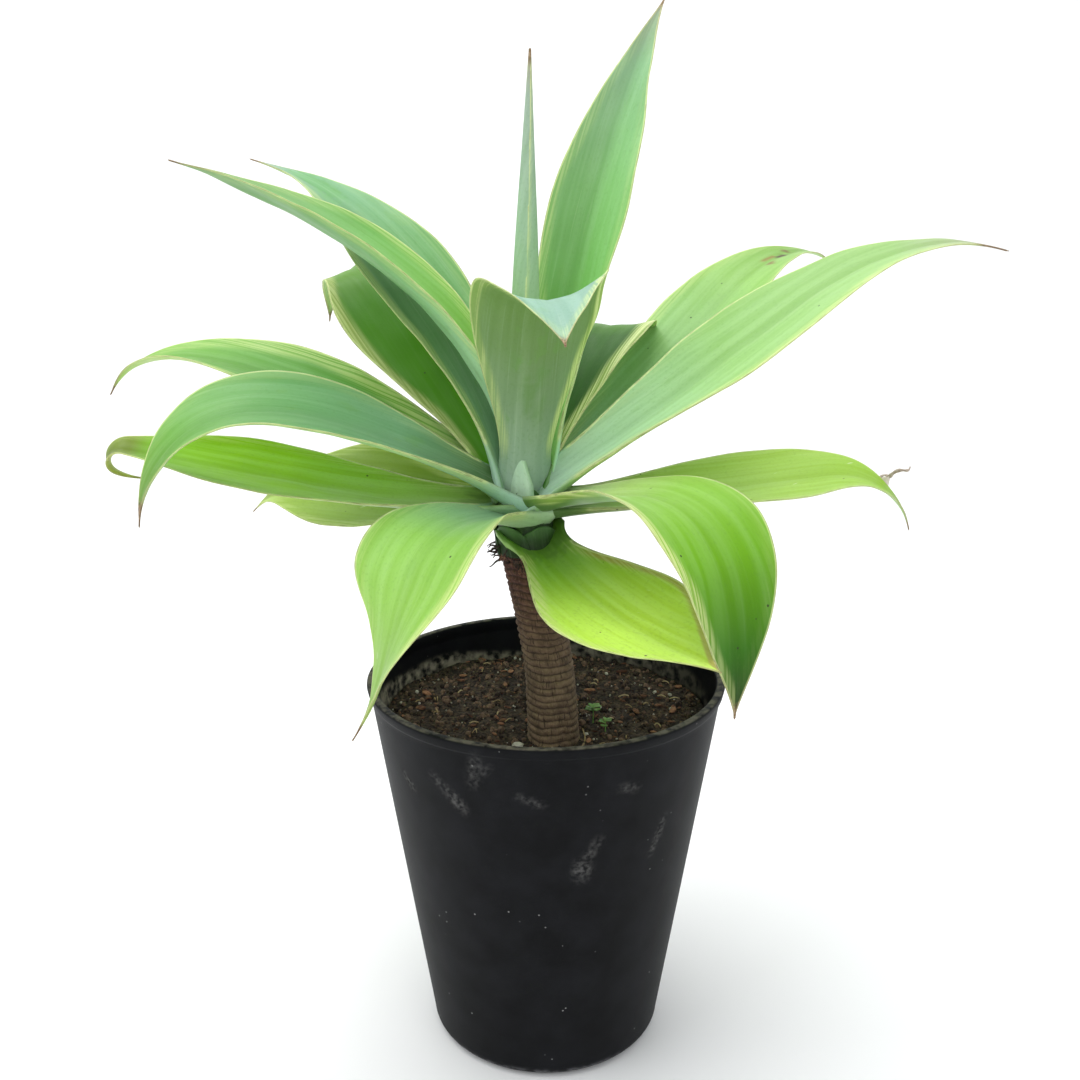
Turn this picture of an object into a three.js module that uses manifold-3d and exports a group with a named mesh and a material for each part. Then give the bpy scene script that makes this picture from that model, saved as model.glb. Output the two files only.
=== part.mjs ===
// Potted foxtail agave: a ringed stem with a crown of broad leaves, in a tapered plastic pot.
// Millimetres, +Z up. The origin is the centre of the pot's underside, and -Y is the front.
import * as THREE from 'three';
import { mergeVertices } from 'three/addons/utils/BufferGeometryUtils.js';
import Module from 'manifold-3d';

// ---- Driving dimensions -------------------------------------------------
const GAP = 0.35; // clearance between touching pieces

const POT = {
  height: 285, rimRadius: 132, baseRadius: 87, cornerRadius: 10,
  wall: 2.6, floor: 3, lipHeight: 7, lipOut: 1.6, lipIn: 2.2, sides: 44,
  drainHoles: 5, drainRadius: 6, drainCircle: 52,
};
const SOIL = { level: 256, fallToWall: 3, lump: 1.6, sides: 40 };
const STEM = {
  // centre line from the buried end to the growing point, and the radius there
  line: [[7, -56, 195], [5, -49, 256], [2, -36, 304], [-6, -24, 344], [-14, -12, 382], [-15, -4, 410],
    [-15, -3, 436]],
  radius: [[195, 17], [250, 18.6], [266, 17.8], [334, 17.2], [376, 17.4], [388, 19], [400, 16],
    [412, 11], [428, 7], [436, 2.5]],
  scars: 18, scarDepth: 0.9, bareTop: 378, sides: 18,
};

// A leaf is a strip bent along its midrib. Angles are in degrees, and each list holds
// [share of the length, value] pairs: pitch above level, turn away from the bearing,
// roll about the midrib, and cup, the half angle of the channel across the blade.
const CUP = [[0, 52], [0.3, 30], [0.65, 18], [1, 18]];
const DEEP = [[0, 55], [0.35, 35], [0.7, 25], [1, 25]];
const LEAVES = {
  leaf_01: { // upright, over the front, its end nodding forward
    bearing: 281, base: [-14, -10, 432], length: 262, width: 94,
    pitch: [[0, 76], [0.3, 64], [0.5, 42], [0.68, 2], [1, -24]],
    turn: [[0, 0], [1, -6]], roll: [[0, 0], [1, 5]],
    cup: [[0, 60], [0.35, 40], [0.7, 46], [1, 42]],
  },
  leaf_02: { // the tallest, leaning back and right
    bearing: 38, base: [-2, 9, 428], length: 352, width: 72,
    pitch: [[0, 80], [0.35, 77], [0.6, 71], [1, 58]],
    turn: [[0, 0]], roll: [[0, 6], [0.5, 10], [1, 10]],
    cup: [[0, 50], [0.35, 28], [0.7, 16], [1, 20]],
  },
  leaf_03: { // narrow arch to the left
    bearing: 182, base: [-24, -1, 432], length: 328, width: 92,
    pitch: [[0, 86], [0.12, 74], [0.35, 51], [0.6, 35], [1, 16]],
    turn: [[0, 0], [0.3, 0], [0.7, 8]], roll: [[0, 0], [0.6, -8], [1, 0]],
    cup: [[0, 60], [0.35, 42], [0.7, 30], [1, 26]],
  },
  leaf_04: { // right and back, its end arching away
    bearing: 48, base: [-8, 8, 428], length: 224, width: 84,
    pitch: [[0, 62], [0.35, 53], [0.54, 32], [0.7, -12], [1, -64]],
    turn: [[0, 0], [0.4, 6], [1, 30]], roll: [[0, 0]], cup: CUP,
  },
  leaf_05: { // broad, left and back, its tip sweeping left
    bearing: 150, base: [-28, 4, 430], length: 316, width: 83,
    pitch: [[0, 74], [0.15, 66], [0.4, 52], [0.65, 42], [0.85, 26], [1, 16]],
    turn: [[0, 0], [0.5, 0], [1, 22]],
    roll: [[0, -10], [0.4, -16], [0.75, -12], [1, 0]], cup: CUP,
  },
  leaf_06: { // long, rising to the right, its tip levelling out
    bearing: 350, base: [-4, -10, 422], length: 356, width: 90,
    pitch: [[0, 40], [0.3, 38], [0.6, 38], [0.8, 18], [1, -16]],
    turn: [[0, 0], [0.5, 2], [1, 6]],
    roll: [[0, 28], [0.35, 28], [0.7, 16], [1, 0]],
    cup: [[0, 50], [0.35, 28], [0.7, 10], [1, 10]],
  },
  leaf_07: { // right and back, behind leaf_06
    bearing: 30, base: [0, 8, 422], length: 318, width: 90,
    pitch: [[0, 39], [0.35, 40], [0.6, 42], [0.8, 20], [1, -30]],
    turn: [[0, 0]], roll: [[0, 8], [1, 6]], cup: CUP,
  },
  leaf_08: { // left and a little forward, its tip hanging
    bearing: 197, base: [-25, -11, 420], length: 303, width: 88,
    pitch: [[0, 34], [0.15, 29], [0.4, 22], [0.6, 5], [0.8, -40], [1, -85]],
    turn: [[0, 0], [0.5, 3], [1, 10]],
    roll: [[0, -12], [0.4, -19], [0.8, -10], [1, 0]], cup: DEEP,
  },
  leaf_09: { // left and a little back, its tip drooping
    bearing: 170, base: [-30, 2, 420], length: 322, width: 88,
    pitch: [[0, 34], [0.15, 30], [0.4, 23], [0.65, 15], [0.82, -4], [1, -62]],
    turn: [[0, 0], [1, 5]], roll: [[0, -10], [0.4, -14], [1, 0]], cup: DEEP,
  },
  leaf_10: { // left and back, folding over at the top
    bearing: 138, base: [-28, 8, 427], length: 306, width: 94,
    pitch: [[0, 50], [0.35, 44], [0.62, 38], [0.74, 0], [1, -76]],
    turn: [[0, 0], [0.7, -8], [1, -15]],
    roll: [[0, -12], [0.5, -33], [1, -16]], cup: CUP,
  },
  leaf_11: { // straight back, seen only from behind
    bearing: 88, base: [-13, 12, 424], length: 305, width: 88,
    pitch: [[0, 38], [0.4, 28], [0.7, 4], [1, -50]],
    turn: [[0, 0], [1, 8]], roll: [[0, 0]], cup: CUP,
  },
  leaf_12: { // front right, folding down over leaf_18
    bearing: 312, base: [-8, -13, 415], length: 284, width: 90,
    pitch: [[0, 18], [0.32, 12], [0.46, -5], [0.61, -44], [0.8, -80], [1, -90]],
    turn: [[0, 0], [0.5, -4], [1, -14]], roll: [[0, 0]], cup: CUP,
  },
  leaf_13: { // right, nearly level, its end drooping
    bearing: 5, base: [0, 2, 410], length: 290, width: 84,
    pitch: [[0, 3], [0.4, 7], [0.68, 6], [0.84, -28], [1, -76]],
    turn: [[0, 0]], roll: [[0, 15], [1, 12]], cup: CUP,
  },
  leaf_14: { // left, nearly level, its tip curled under
    bearing: 188, base: [-30, -6, 413], length: 306, width: 88,
    pitch: [[0, 3], [0.2, 9], [0.5, 14], [0.84, 14], [0.88, -50], [0.93, -150], [1, -176]],
    turn: [[0, 0], [1, 3]], roll: [[0, -10], [0.5, -12], [1, -5]], cup: CUP,
  },
  leaf_15: { // left and back, low
    bearing: 158, base: [-28, 4, 406], length: 225, width: 92,
    pitch: [[0, 2], [0.4, 4], [0.7, -4], [1, -45]],
    turn: [[0, 0]], roll: [[0, -12], [0.5, -32], [1, -20]], cup: CUP,
  },
  leaf_16: { // back and right, low, seen only from behind
    bearing: 68, base: [-8, 10, 416], length: 300, width: 88,
    pitch: [[0, 16], [0.4, 12], [0.7, 2], [1, -40]],
    turn: [[0, 0], [1, -6]], roll: [[0, 0]], cup: CUP,
  },
  leaf_17: { // front left, folding steeply down
    bearing: 238, base: [-20, -16, 406], length: 240, width: 92, widest: 0.46,
    pitch: [[0, 16], [0.2, 8], [0.34, -8], [0.55, -60], [0.75, -73], [1, -58]],
    turn: [[0, 0], [0.5, -4], [0.7, -34], [1, -68]], roll: [[0, 0]], cup: CUP,
  },
  leaf_18: { // front right, the lowest, sloping gently down
    bearing: 296, base: [-8, -16, 388], length: 202, width: 98,
    pitch: [[0, -14], [0.5, -7], [0.8, -4], [1, -14]],
    turn: [[0, 0], [0.5, 6], [1, 18]], roll: [[0, 10]], cup: CUP,
  },
  leaf_19: { // back and left, low, seen only from behind
    bearing: 105, base: [-22, 10, 416], length: 284, width: 86,
    pitch: [[0, 22], [0.4, 18], [0.7, 4], [1, -42]],
    turn: [[0, 0]], roll: [[0, 0]], cup: CUP,
  },
  leaf_20: { // straight back, the lowest there
    bearing: 86, base: [-15, 10, 404], length: 280, width: 90,
    pitch: [[0, 4], [0.4, 6], [0.7, -4], [1, -46]],
    turn: [[0, 0]], roll: [[0, 0]], cup: CUP,
  },
};
const SPEAR = { // the youngest leaves, still furled round each other
  line: [[-16, -2, 428], [-15, -3, 524], [-13, -2, 624], [-11, -1, 718]],
  radius: [[0, 11], [0.2, 12], [0.5, 9], [0.8, 4], [1, 0.8]],
  flat: 0.7, stations: 9, sides: 10,
};
const THICK = { tip: 1.6, taper: 2.2, foot: 7, footFade: 0.11, edge: 0.85 };
const BLADE = {
  neck: 0.36, widest: 0.56, clasp: 0.16, claspFade: 0.05, stations: 18, columns: 5, steps: 400,
};

const SEEDLINGS = {
  seedling_01: { at: [34, -26], height: 12, leaflets: 5, reach: 6, bearing: 20 },
  seedling_02: { at: [42, -44], height: 8, leaflets: 4, reach: 5, bearing: 75 },
};

// ---- Solids -------------------------------------------------------------
const wasm = await Module();
wasm.setup();

function solid(geometry) {
  const bare = geometry.clone();
  for (const name of ['normal', 'uv']) if (bare.attributes[name]) bare.deleteAttribute(name);
  const merged = mergeVertices(bare, 1e-3);
  return new wasm.Manifold(new wasm.Mesh({
    numProp: 3,
    vertProperties: new Float32Array(merged.attributes.position.array),
    triVerts: new Uint32Array(merged.index.array),
  }));
}

function largest(manifold) {
  return manifold.decompose().reduce((a, b) => (b.volume() > a.volume() ? b : a));
}

function geometryOf(manifold) {
  const mesh = manifold.getMesh();
  const geometry = new THREE.BufferGeometry();
  geometry.setAttribute('position', new THREE.BufferAttribute(mesh.vertProperties, 3));
  geometry.setIndex(new THREE.BufferAttribute(mesh.triVerts, 1));
  geometry.computeVertexNormals();
  return geometry;
}

// Smooth value through [place, value] pairs, never past the pairs on either side.
function along(pairs, s) {
  const last = pairs.length - 1;
  if (last === 0 || s <= pairs[0][0]) return pairs[0][1];
  if (s >= pairs[last][0]) return pairs[last][1];
  const slope = (i) => (pairs[i + 1][1] - pairs[i][1]) / (pairs[i + 1][0] - pairs[i][0]);
  const tangent = (i) => {
    if (i === 0) return slope(0);
    if (i === last) return slope(last - 1);
    const a = slope(i - 1);
    const b = slope(i);
    return a * b <= 0 ? 0 : (2 * a * b) / (a + b);
  };
  let i = 0;
  while (s >= pairs[i + 1][0]) i += 1;
  const h = pairs[i + 1][0] - pairs[i][0];
  const t = (s - pairs[i][0]) / h;
  return (2 * t ** 3 - 3 * t ** 2 + 1) * pairs[i][1] + (t ** 3 - 2 * t ** 2 + t) * h * tangent(i)
    + (3 * t ** 2 - 2 * t ** 3) * pairs[i + 1][1] + (t ** 3 - t ** 2) * h * tangent(i + 1);
}

// Closed skin over rings of equal, even size: sides, and a strip across each end from the
// ring's first half to its second, which stays inside a crescent too.
function skin(rings) {
  const around = rings[0].length;
  const position = rings.flat().flatMap((p) => [p.x, p.y, p.z]);
  const index = [];
  for (let i = 0; i < rings.length - 1; i += 1) {
    for (let j = 0; j < around; j += 1) {
      const a = i * around + j;
      const b = i * around + ((j + 1) % around);
      index.push(a, b, b + around, a, b + around, a + around);
    }
  }
  const end = (rings.length - 1) * around;
  for (let j = 0; j < around / 2 - 1; j += 1) {
    const [a, b, c, d] = [j, j + 1, around - 2 - j, around - 1 - j];
    index.push(a, c, b, a, d, c, end + a, end + b, end + c, end + a, end + c, end + d);
  }
  const geometry = new THREE.BufferGeometry();
  geometry.setAttribute('position', new THREE.Float32BufferAttribute(position, 3));
  geometry.setIndex(index);
  return geometry;
}

// ---- Leaves -------------------------------------------------------------
const rad = THREE.MathUtils.degToRad;

function midrib(leaf) {
  const at = new THREE.Vector3(...leaf.base);
  const frames = [];
  let weight = 0;
  for (let i = 0; i <= BLADE.steps; i += 1) {
    const s = i / BLADE.steps;
    const pitch = rad(along(leaf.pitch, s));
    const heading = rad(leaf.bearing + along(leaf.turn, s));
    const roll = rad(along(leaf.roll, s));
    const dir = new THREE.Vector3(
      Math.cos(pitch) * Math.cos(heading), Math.cos(pitch) * Math.sin(heading), Math.sin(pitch),
    );
    const level = new THREE.Vector3(-Math.sin(heading), Math.cos(heading), 0);
    const face = dir.clone().cross(level);
    if (i > 0) weight += 1 / BLADE.steps + 0.5 * dir.angleTo(frames[i - 1].dir);
    frames.push({
      s, weight, dir, at: at.clone(),
      side: level.clone().multiplyScalar(Math.cos(roll)).addScaledVector(face, Math.sin(roll)),
      up: face.clone().multiplyScalar(Math.cos(roll)).addScaledVector(level, -Math.sin(roll)),
    });
    at.addScaledVector(dir, leaf.length / BLADE.steps);
  }
  return frames;
}

function halfWidth(leaf, s) {
  const widest = leaf.widest ?? BLADE.widest;
  if (s < widest) {
    const t = s / widest;
    const clasp = BLADE.clasp * Math.exp(-s / BLADE.claspFade);
    return (leaf.width / 2) * (BLADE.neck + clasp + (1 - BLADE.neck) * t * t * (3 - 2 * t));
  }
  return (leaf.width / 2) * (1 - ((s - widest) / (1 - widest)) ** 1.7) ** 1.3;
}

function thickness(s) {
  return THICK.tip + THICK.taper * (1 - s) + THICK.foot * Math.exp(-s / THICK.footFade);
}

// The blade's upper and lower faces share one grid, so both are split alike.
// grow swells the leaf all round, for cutting clearance in its neighbours.
function leafGeometry(leaf, grow = 0) {
  const frames = midrib(leaf);
  const total = frames[BLADE.steps].weight;
  const rings = [];
  for (let i = 0; i < BLADE.stations; i += 1) {
    const want = (total * i) / (BLADE.stations - 1);
    const f = frames.find((frame) => frame.weight >= want - 1e-9);
    const half = Math.max(halfWidth(leaf, f.s), 0.6) + grow;
    const cup = rad(along(leaf.cup, f.s));
    const past = (i === 0 ? -grow : 0) + (i === BLADE.stations - 1 ? grow : 0);
    const upper = [];
    const lower = [];
    for (let j = 0; j < BLADE.columns; j += 1) {
      const u = (2 * j) / (BLADE.columns - 1) - 1;
      const centre = f.at.clone()
        .addScaledVector(f.side, (half * Math.sin(cup * u)) / cup)
        .addScaledVector(f.up, (half * (1 - Math.cos(cup * u))) / cup)
        .addScaledVector(f.dir, past);
      const normal = f.up.clone().multiplyScalar(Math.cos(cup * u))
        .addScaledVector(f.side, -Math.sin(cup * u));
      const reach = (thickness(f.s) / 2) * Math.sqrt(1 - THICK.edge * u * u) + grow;
      upper.push(centre.clone().addScaledVector(normal, reach));
      lower.push(centre.clone().addScaledVector(normal, -reach));
    }
    rings.push([...lower, ...upper.reverse()]);
  }
  return skin(rings);
}

// ---- Stem, spear, pot, soil, seedlings ----------------------------------
// Grown, the stem is plain: a smooth cutter that clears its scars and collars.
function stemGeometry(grow = 0) {
  const path = new THREE.CatmullRomCurve3(STEM.line.map((p) => new THREE.Vector3(...p)));
  const low = STEM.line[0][2];
  const high = STEM.line[STEM.line.length - 1][2];
  const levels = [low - grow, 252];
  const pitch = (STEM.bareTop - 256) / STEM.scars;
  if (grow === 0) {
    for (let i = 0; i < STEM.scars; i += 1) levels.push(256 + i * pitch, 256 + (i + 0.7) * pitch);
    levels.push(380, 388, 394, 400, 406, 412, 420, 428, high);
  } else {
    levels.push(300, 344, 378, 390, 402, 414, 428, high + grow);
  }
  const samples = path.getSpacedPoints(300);
  const rings = levels.map((z, k) => {
    const centre = samples.reduce((a, b) => (Math.abs(b.z - z) < Math.abs(a.z - z) ? b : a));
    const scarred = z >= 256 && z <= STEM.bareTop;
    const groove = scarred && k % 2 === 1 ? -STEM.scarDepth : 0;
    return Array.from({ length: STEM.sides }, (_, j) => {
      const a = (2 * Math.PI * j) / STEM.sides;
      const uneven = 0.35 * Math.sin(3 * a + k) + 0.25 * Math.sin(5 * a - 1.7 * k);
      const collar = z > 380 && z < 404 ? 1.2 * Math.sin(7 * a + 0.4 * z) : 0;
      const relief = grow > 0 ? 1.5 : groove + (z < 428 ? uneven + collar : 0);
      const r = along(STEM.radius, z) + relief + grow;
      return new THREE.Vector3(centre.x + r * Math.cos(a), centre.y + r * Math.sin(a), z);
    });
  });
  return skin(rings);
}

function spearGeometry(grow = 0) {
  const path = new THREE.CatmullRomCurve3(SPEAR.line.map((p) => new THREE.Vector3(...p)));
  const rings = [];
  for (let i = 0; i < SPEAR.stations; i += 1) {
    const s = i / (SPEAR.stations - 1);
    const centre = path.getPoint(s);
    const r = along(SPEAR.radius, s) + grow;
    rings.push(Array.from({ length: SPEAR.sides }, (_, j) => {
      const a = (2 * Math.PI * j) / SPEAR.sides;
      return new THREE.Vector3(
        centre.x + r * Math.cos(a), centre.y + r * SPEAR.flat * Math.sin(a), centre.z,
      );
    }));
  }
  return skin(rings);
}

function lathe(profile, sides) {
  const geometry = new THREE.LatheGeometry(profile.map(([x, y]) => new THREE.Vector2(x, y)), sides);
  geometry.rotateX(Math.PI / 2);
  return geometry;
}

function wallRadius(z) {
  return POT.baseRadius + ((POT.rimRadius - POT.lipOut - POT.baseRadius) * z) / POT.height;
}

function potGeometry() {
  const { height: h, wall, floor, cornerRadius: c, lipHeight, lipOut, lipIn } = POT;
  const profile = [[0, 0], [wallRadius(0) - c, 0]];
  for (const a of [30, 60, 90]) {
    profile.push([wallRadius(c) - c + c * Math.sin(rad(a)), c - c * Math.cos(rad(a))]);
  }
  profile.push(
    [wallRadius(h - lipHeight - 2), h - lipHeight - 2],
    [wallRadius(h - lipHeight) + lipOut, h - lipHeight],
    [wallRadius(h) + lipOut, h - 1.6],
    [wallRadius(h) + lipOut - 1.4, h],
    [wallRadius(h) - wall - lipIn + 1.4, h],
    [wallRadius(h) - wall - lipIn, h - 1.6],
    [wallRadius(h - lipHeight) - wall - lipIn + 0.6, h - lipHeight],
    [wallRadius(h - lipHeight - 3) - wall, h - lipHeight - 3],
    [wallRadius(c) - wall, c + floor],
    [wallRadius(c) - wall - 5, floor],
    [0, floor],
  );
  let pot = solid(lathe(profile, POT.sides));
  for (let i = 0; i < POT.drainHoles; i += 1) {
    const a = (2 * Math.PI * (i + 0.25)) / POT.drainHoles;
    const drill = new THREE.CylinderGeometry(POT.drainRadius, POT.drainRadius, 4 * floor, 16);
    drill.rotateX(Math.PI / 2);
    drill.translate(POT.drainCircle * Math.cos(a), POT.drainCircle * Math.sin(a), floor / 2);
    pot = pot.subtract(solid(drill));
  }
  return pot;
}

function soilSurface(x, y) {
  const r = Math.hypot(x, y);
  const edge = Math.min(1, r / 118);
  return SOIL.level - SOIL.fallToWall * edge ** 4
    + SOIL.lump * Math.sin(0.075 * x + 1.1) * Math.cos(0.063 * y - 0.6)
    + 0.6 * Math.sin(0.19 * x - 0.4) * Math.sin(0.17 * y + 2.1);
}

function soilGeometry() {
  const inner = (z) => wallRadius(z) - POT.wall - GAP;
  const top = inner(SOIL.level - 4);
  const rows = [0.18, 0.36, 0.54, 0.72, 0.88, 1];
  const ring = (r, z) => Array.from({ length: SOIL.sides }, (_, j) => {
    const a = (2 * Math.PI * j) / SOIL.sides;
    const x = r * Math.cos(a);
    const y = r * Math.sin(a);
    return new THREE.Vector3(x, y, z ?? soilSurface(x, y));
  });
  const c = POT.cornerRadius;
  const foot = POT.floor + GAP;
  // Chords of the pot's wall are flatter than its circle, so the soil keeps in by that much.
  const keep = (z) => inner(z) * Math.cos(Math.PI / POT.sides);
  const rings = [ring(keep(c) - 6.5, foot), ring(keep(c) - 0.4, c + foot + 0.6), ring(top * 0.9985, null)];
  for (const share of rows.slice(0, -1).reverse()) rings.push(ring(top * share, null));
  return skin(rings);
}

function seedlingSolid({ at: [x, y], height, leaflets, reach, bearing }) {
  const ground = soilSurface(x, y);
  const stalk = new THREE.CylinderGeometry(0.5, 0.6, height + 6, 5);
  stalk.rotateX(Math.PI / 2);
  stalk.translate(x, y, ground + (height - 6) / 2);
  let plant = solid(stalk);
  for (let i = 0; i < leaflets; i += 1) {
    const leaflet = new THREE.SphereGeometry(1, 6, 4);
    leaflet.scale(reach * 0.62, reach * 0.42, 0.6);
    leaflet.translate(reach * 0.5, 0, 0);
    leaflet.rotateY(-rad(18 + 9 * (i % 2)));
    leaflet.rotateZ(rad(bearing + (360 * i) / leaflets));
    leaflet.translate(x, y, ground + height - 1.2 * (i % 3));
    plant = plant.add(solid(leaflet));
  }
  return plant;
}

// ---- Scene --------------------------------------------------------------
const LOOK = {
  plastic: { color: '#1d1e20', roughness: 0.55 },
  soil: { color: '#3a2a20', roughness: 0.95 },
  bark: { color: '#7a5f4c', roughness: 0.85 },
  young: { color: '#9dbfa2', roughness: 0.5 },
  blade: { color: '#7fae62', roughness: 0.45 },
  weed: { color: '#5f8f3c', roughness: 0.6 },
};

const plant = new THREE.Group();

function place(name, geometry, look) {
  const material = new THREE.MeshStandardMaterial({ ...LOOK[look], metalness: 0 });
  const mesh = new THREE.Mesh(geometry, material);
  mesh.name = name;
  plant.add(mesh);
}

const stemGrown = solid(stemGeometry(GAP));
place('stem', geometryOf(solid(stemGeometry())), 'bark');

// The inner leaves come first, and each further one is cut clear of all before it.
let taken = stemGrown;
place('spear', geometryOf(largest(solid(spearGeometry()).subtract(taken))), 'young');
taken = taken.add(solid(spearGeometry(GAP)));
for (const [name, leaf] of Object.entries(LEAVES)) {
  place(name, geometryOf(largest(solid(leafGeometry(leaf)).subtract(taken))), 'blade');
  taken = taken.add(solid(leafGeometry(leaf, GAP)));
}

place('pot', geometryOf(potGeometry()), 'plastic');

let soil = solid(soilGeometry()).subtract(stemGrown);
for (const [name, seedling] of Object.entries(SEEDLINGS)) {
  place(name, geometryOf(seedlingSolid(seedling)), 'weed');
  const [x, y] = seedling.at;
  const hole = new THREE.CylinderGeometry(0.6 + GAP, 0.6 + GAP, 30, 8);
  hole.rotateX(Math.PI / 2);
  hole.translate(x, y, soilSurface(x, y) + 8);
  soil = soil.subtract(solid(hole));
}
place('soil', geometryOf(soil), 'soil');

export default plant;
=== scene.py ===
# A potted foxtail agave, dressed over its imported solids. Metres, +Z up, -Y the front.
import math
from functools import partial

import bmesh
import bpy
import numpy as np
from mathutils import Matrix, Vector, noise


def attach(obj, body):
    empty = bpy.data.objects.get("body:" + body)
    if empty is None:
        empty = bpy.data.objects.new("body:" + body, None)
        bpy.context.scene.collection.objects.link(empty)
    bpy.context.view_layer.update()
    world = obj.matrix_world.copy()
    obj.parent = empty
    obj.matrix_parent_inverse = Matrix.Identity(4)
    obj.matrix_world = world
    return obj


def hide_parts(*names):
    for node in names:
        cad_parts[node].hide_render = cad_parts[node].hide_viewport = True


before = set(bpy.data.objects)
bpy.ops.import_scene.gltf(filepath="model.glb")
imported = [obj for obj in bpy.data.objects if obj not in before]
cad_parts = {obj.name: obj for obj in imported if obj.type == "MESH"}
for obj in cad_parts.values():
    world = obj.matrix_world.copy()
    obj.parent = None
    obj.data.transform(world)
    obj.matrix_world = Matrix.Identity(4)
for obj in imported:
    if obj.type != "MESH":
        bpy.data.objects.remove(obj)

MM = 0.001
chance = np.random.default_rng(41)
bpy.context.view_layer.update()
scene = bpy.context.scene

# ---- The maker's dimensions, in millimetres, the same as the solids' ----------------
POT = {"height": 285, "rim": 132, "base": 87, "corner": 10, "wall": 2.6, "floor": 3,
       "lip_height": 7, "lip_out": 1.6, "lip_in": 2.2, "drains": 5, "drain_radius": 6, "drain_circle": 52}
# Dust smears on the wall: from and to, as degrees round from the front and height, then
# width and strength.
SMEARS = [(-33, 244, -27, 231, 5, 0.6), (-38, 252, -33, 244, 4, 0.35), (-53, 242, -48, 232, 3, 0.7),
          (-21, 274, -23, 254, 6, 0.35), (-17, 268, -20, 262, 4, 0.25), (-9, 248, -1, 241, 3, 0.35),
          (23, 250, 29, 247, 4, 0.35), (17, 211, 12, 190, 5, 0.35), (12, 192, 12, 184, 8, 0.6),
          (43, 214, 39, 188, 4, 0.5), (150, 240, 158, 205, 6, 0.6), (205, 180, 212, 150, 7, 0.4),
          (-110, 225, -104, 195, 5, 0.5), (100, 150, 96, 120, 5, 0.35)]
SOIL = {"level": 256, "fall": 3, "lump": 1.6}
STEM_LINE = [(7, -56, 195), (5, -49, 256), (2, -36, 304), (-6, -24, 344), (-14, -12, 382), (-15, -4, 410),
             (-15, -3, 436)]
STEM_RADIUS = [(195, 17), (250, 18.6), (266, 17.8), (334, 17.2), (376, 17.4), (388, 19), (400, 16),
               (412, 11), (428, 7), (436, 2.5)]
SCAR_GAP = 4.55
SPEAR_LINE = [(-16, -2, 428), (-15, -3, 524), (-13, -2, 624), (-11, -1, 718)]
SPEAR_RADIUS = [(0, 11), (0.2, 12), (0.5, 9), (0.8, 4), (1, 0.8)]
SEEDLINGS = {
    "seedling_01": {"at": (34, -26), "height": 12, "leaflets": 5, "reach": 6, "bearing": 20},
    "seedling_02": {"at": (42, -44), "height": 8, "leaflets": 4, "reach": 5, "bearing": 75},
}

# Each leaf: bearing, base, length, width and where it is widest, then how pitch, turn, roll
# and cup run along it. Then its look: colour stops along the upper and under faces; how
# strong the pale band by the margin is on the low side and the high side, and its width;
# how deep the crease is; how much painted light and shade part the two halves; how long the
# dry thread is and how much of the tip is dry; bloom and specks; how much painted shade
# darkens the heel; the rusty edge and the tan blush; and marks: face, place along, place
# across, length, width, colour and strength.
CUP = [(0, 52), (0.3, 30), (0.65, 18), (1, 18)]
DEEP = [(0, 55), (0.35, 35), (0.7, 25), (1, 25)]
YOUNG = [(0, "#b4d8c2"), (0.25, "#a2cf9f"), (0.6, "#94c87c"), (1, "#a2c77c")]
GROWN = [(0, "#a9cfae"), (0.2, "#93c47c"), (0.55, "#8ec354"), (1, "#98bf4a")]
UNDER = [(0, "#86a878"), (0.15, "#8db47e"), (0.3, "#94bf8c"), (0.7, "#97c47c"), (1, "#a5c877")]
# Undersides with painted shade: dark green at the base, where the crown shades them.
SHADED = [(0, "#56753f"), (0.3, "#7fa55c"), (0.7, "#97c47c"), (1, "#a5c877")]
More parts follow.
